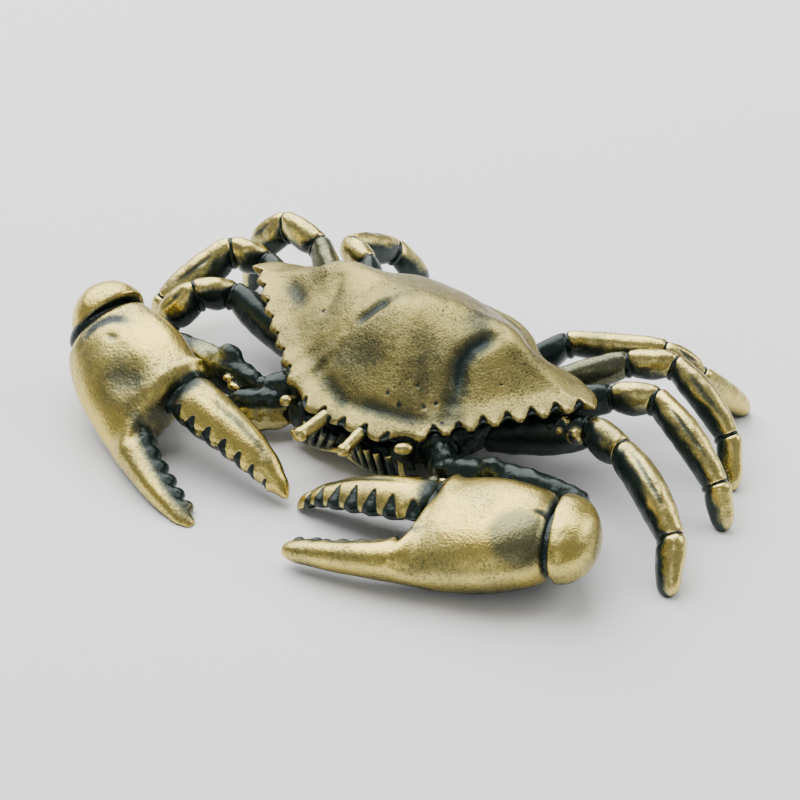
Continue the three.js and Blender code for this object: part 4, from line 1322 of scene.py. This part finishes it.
def dress_mouth_ribs(side):
    """Upright ribs over the jaw and the rim below them."""
    rods = []
    for top, foot in MOUTH_RIBS[: RIBS_SHOWN[side]]:
        rods.append(rod(beside(side, top), beside(side, foot), *RIB_RADII))
    rim = [beside(side, spot) for spot in MOUTH_RIM[: RIM_SHOWN[side]]]
    for start, end in zip(rim, rim[1:]):
        rods.append(rod(start, end, RIM_RADIUS, RIM_RADIUS))
        rods.append(bead(end, (RIM_RADIUS, RIM_RADIUS, RIM_RADIUS)))
    mesh = melded(f"{side}_mouth_ribs", rods, 0.08, 4)
    coat(mesh, (), hollow=(6, 0.03), reached=(0.2, 0.9))
    show(mesh.name, mesh, MOUTH_BRASS)


def dress_face():
    for side in SIDES:
        dress_stalk(f"{side}_eye")
        dress_stalk(f"{side}_feeler")
        dress_jaw(side)
        dress_mouth_ribs(side)


dress_shell()
dress_body()
dress_claws()
dress_arms()
dress_legs()
dress_face()


# Studio

FLOOR_HALF = 1.5
CAMERA_TURN, CAMERA_RISE = math.radians(36), math.radians(36)
CAMERA_DISTANCE = 0.330
CAMERA_LENS, CAMERA_SENSOR = 148.5, 36.0
CAMERA_AIM = (-4.0, 2.652, -1.81)
# Soft boxes: name, place, width, height and strength
BOXES_OF_LIGHT = [
    ("Overhead box", (-0.22, 0.12, 0.34), 0.50, 0.60, 5.0),
    ("Rear box", (0.22, 0.24, 0.25), 0.25, 0.25, 0.7),
    ("Front box", (0.14, -0.42, 0.22), 0.14, 0.10, 0.12),
]
ROOM_LIGHT = 0.35


def softbox(name, place, width, height, power):
    """A soft light with four corners that faces the crab."""
    lamp = bpy.data.lights.new(name, "AREA")
    lamp.shape = "RECTANGLE"
    lamp.size, lamp.size_y = width, height
    lamp.energy = power
    holder = in_scene(name, lamp)
    holder.location = place
    holder.rotation_mode = "QUATERNION"
    holder.rotation_quaternion = (-Vector(place)).to_track_quat("-Z", "Y")


def pale_floor():
    """A plain pale floor under the crab."""
    shape = bmesh.new()
    bmesh.ops.create_grid(shape, x_segments=1, y_segments=1, size=FLOOR_HALF)
    mesh = mesh_from(shape, "floor")
    material = bpy.data.materials.new("Pale floor")
    material.use_nodes = True
    shader = material.node_tree.nodes["Principled BSDF"]
    shader.inputs["Base Color"].default_value = (0.92, 0.92, 0.92, 1)
    shader.inputs["Roughness"].default_value = 0.9
    mesh.materials.append(material)
    floor = in_scene("floor", mesh)


def camera_at_photo_angle():
    """The camera in front of the crab's left, looking down on it."""
    lens = bpy.data.cameras.new("camera")
    lens.lens = CAMERA_LENS
    lens.sensor_width = CAMERA_SENSOR
    lens.clip_start, lens.clip_end = 0.01, 10.0
    camera = in_scene("camera", lens)
    level = math.cos(CAMERA_RISE)
    back = Vector(
        (math.sin(CAMERA_TURN) * level, -math.cos(CAMERA_TURN) * level, math.sin(CAMERA_RISE))
    )
    camera.location = at(*CAMERA_AIM) + back * CAMERA_DISTANCE
    camera.rotation_mode = "QUATERNION"
    camera.rotation_quaternion = (-back).to_track_quat("-Z", "Y")
    bpy.context.scene.camera = camera


def soft_room():
    """Even white light from all round, and the soft boxes."""
    world = bpy.data.worlds.new("Studio")
    world.use_nodes = True
    background = world.node_tree.nodes["Background"]
    background.inputs["Color"].default_value = (1, 1, 1, 1)
    background.inputs["Strength"].default_value = ROOM_LIGHT
    bpy.context.scene.world = world
    for box in BOXES_OF_LIGHT:
        softbox(*box)


pale_floor()
camera_at_photo_angle()
soft_room()
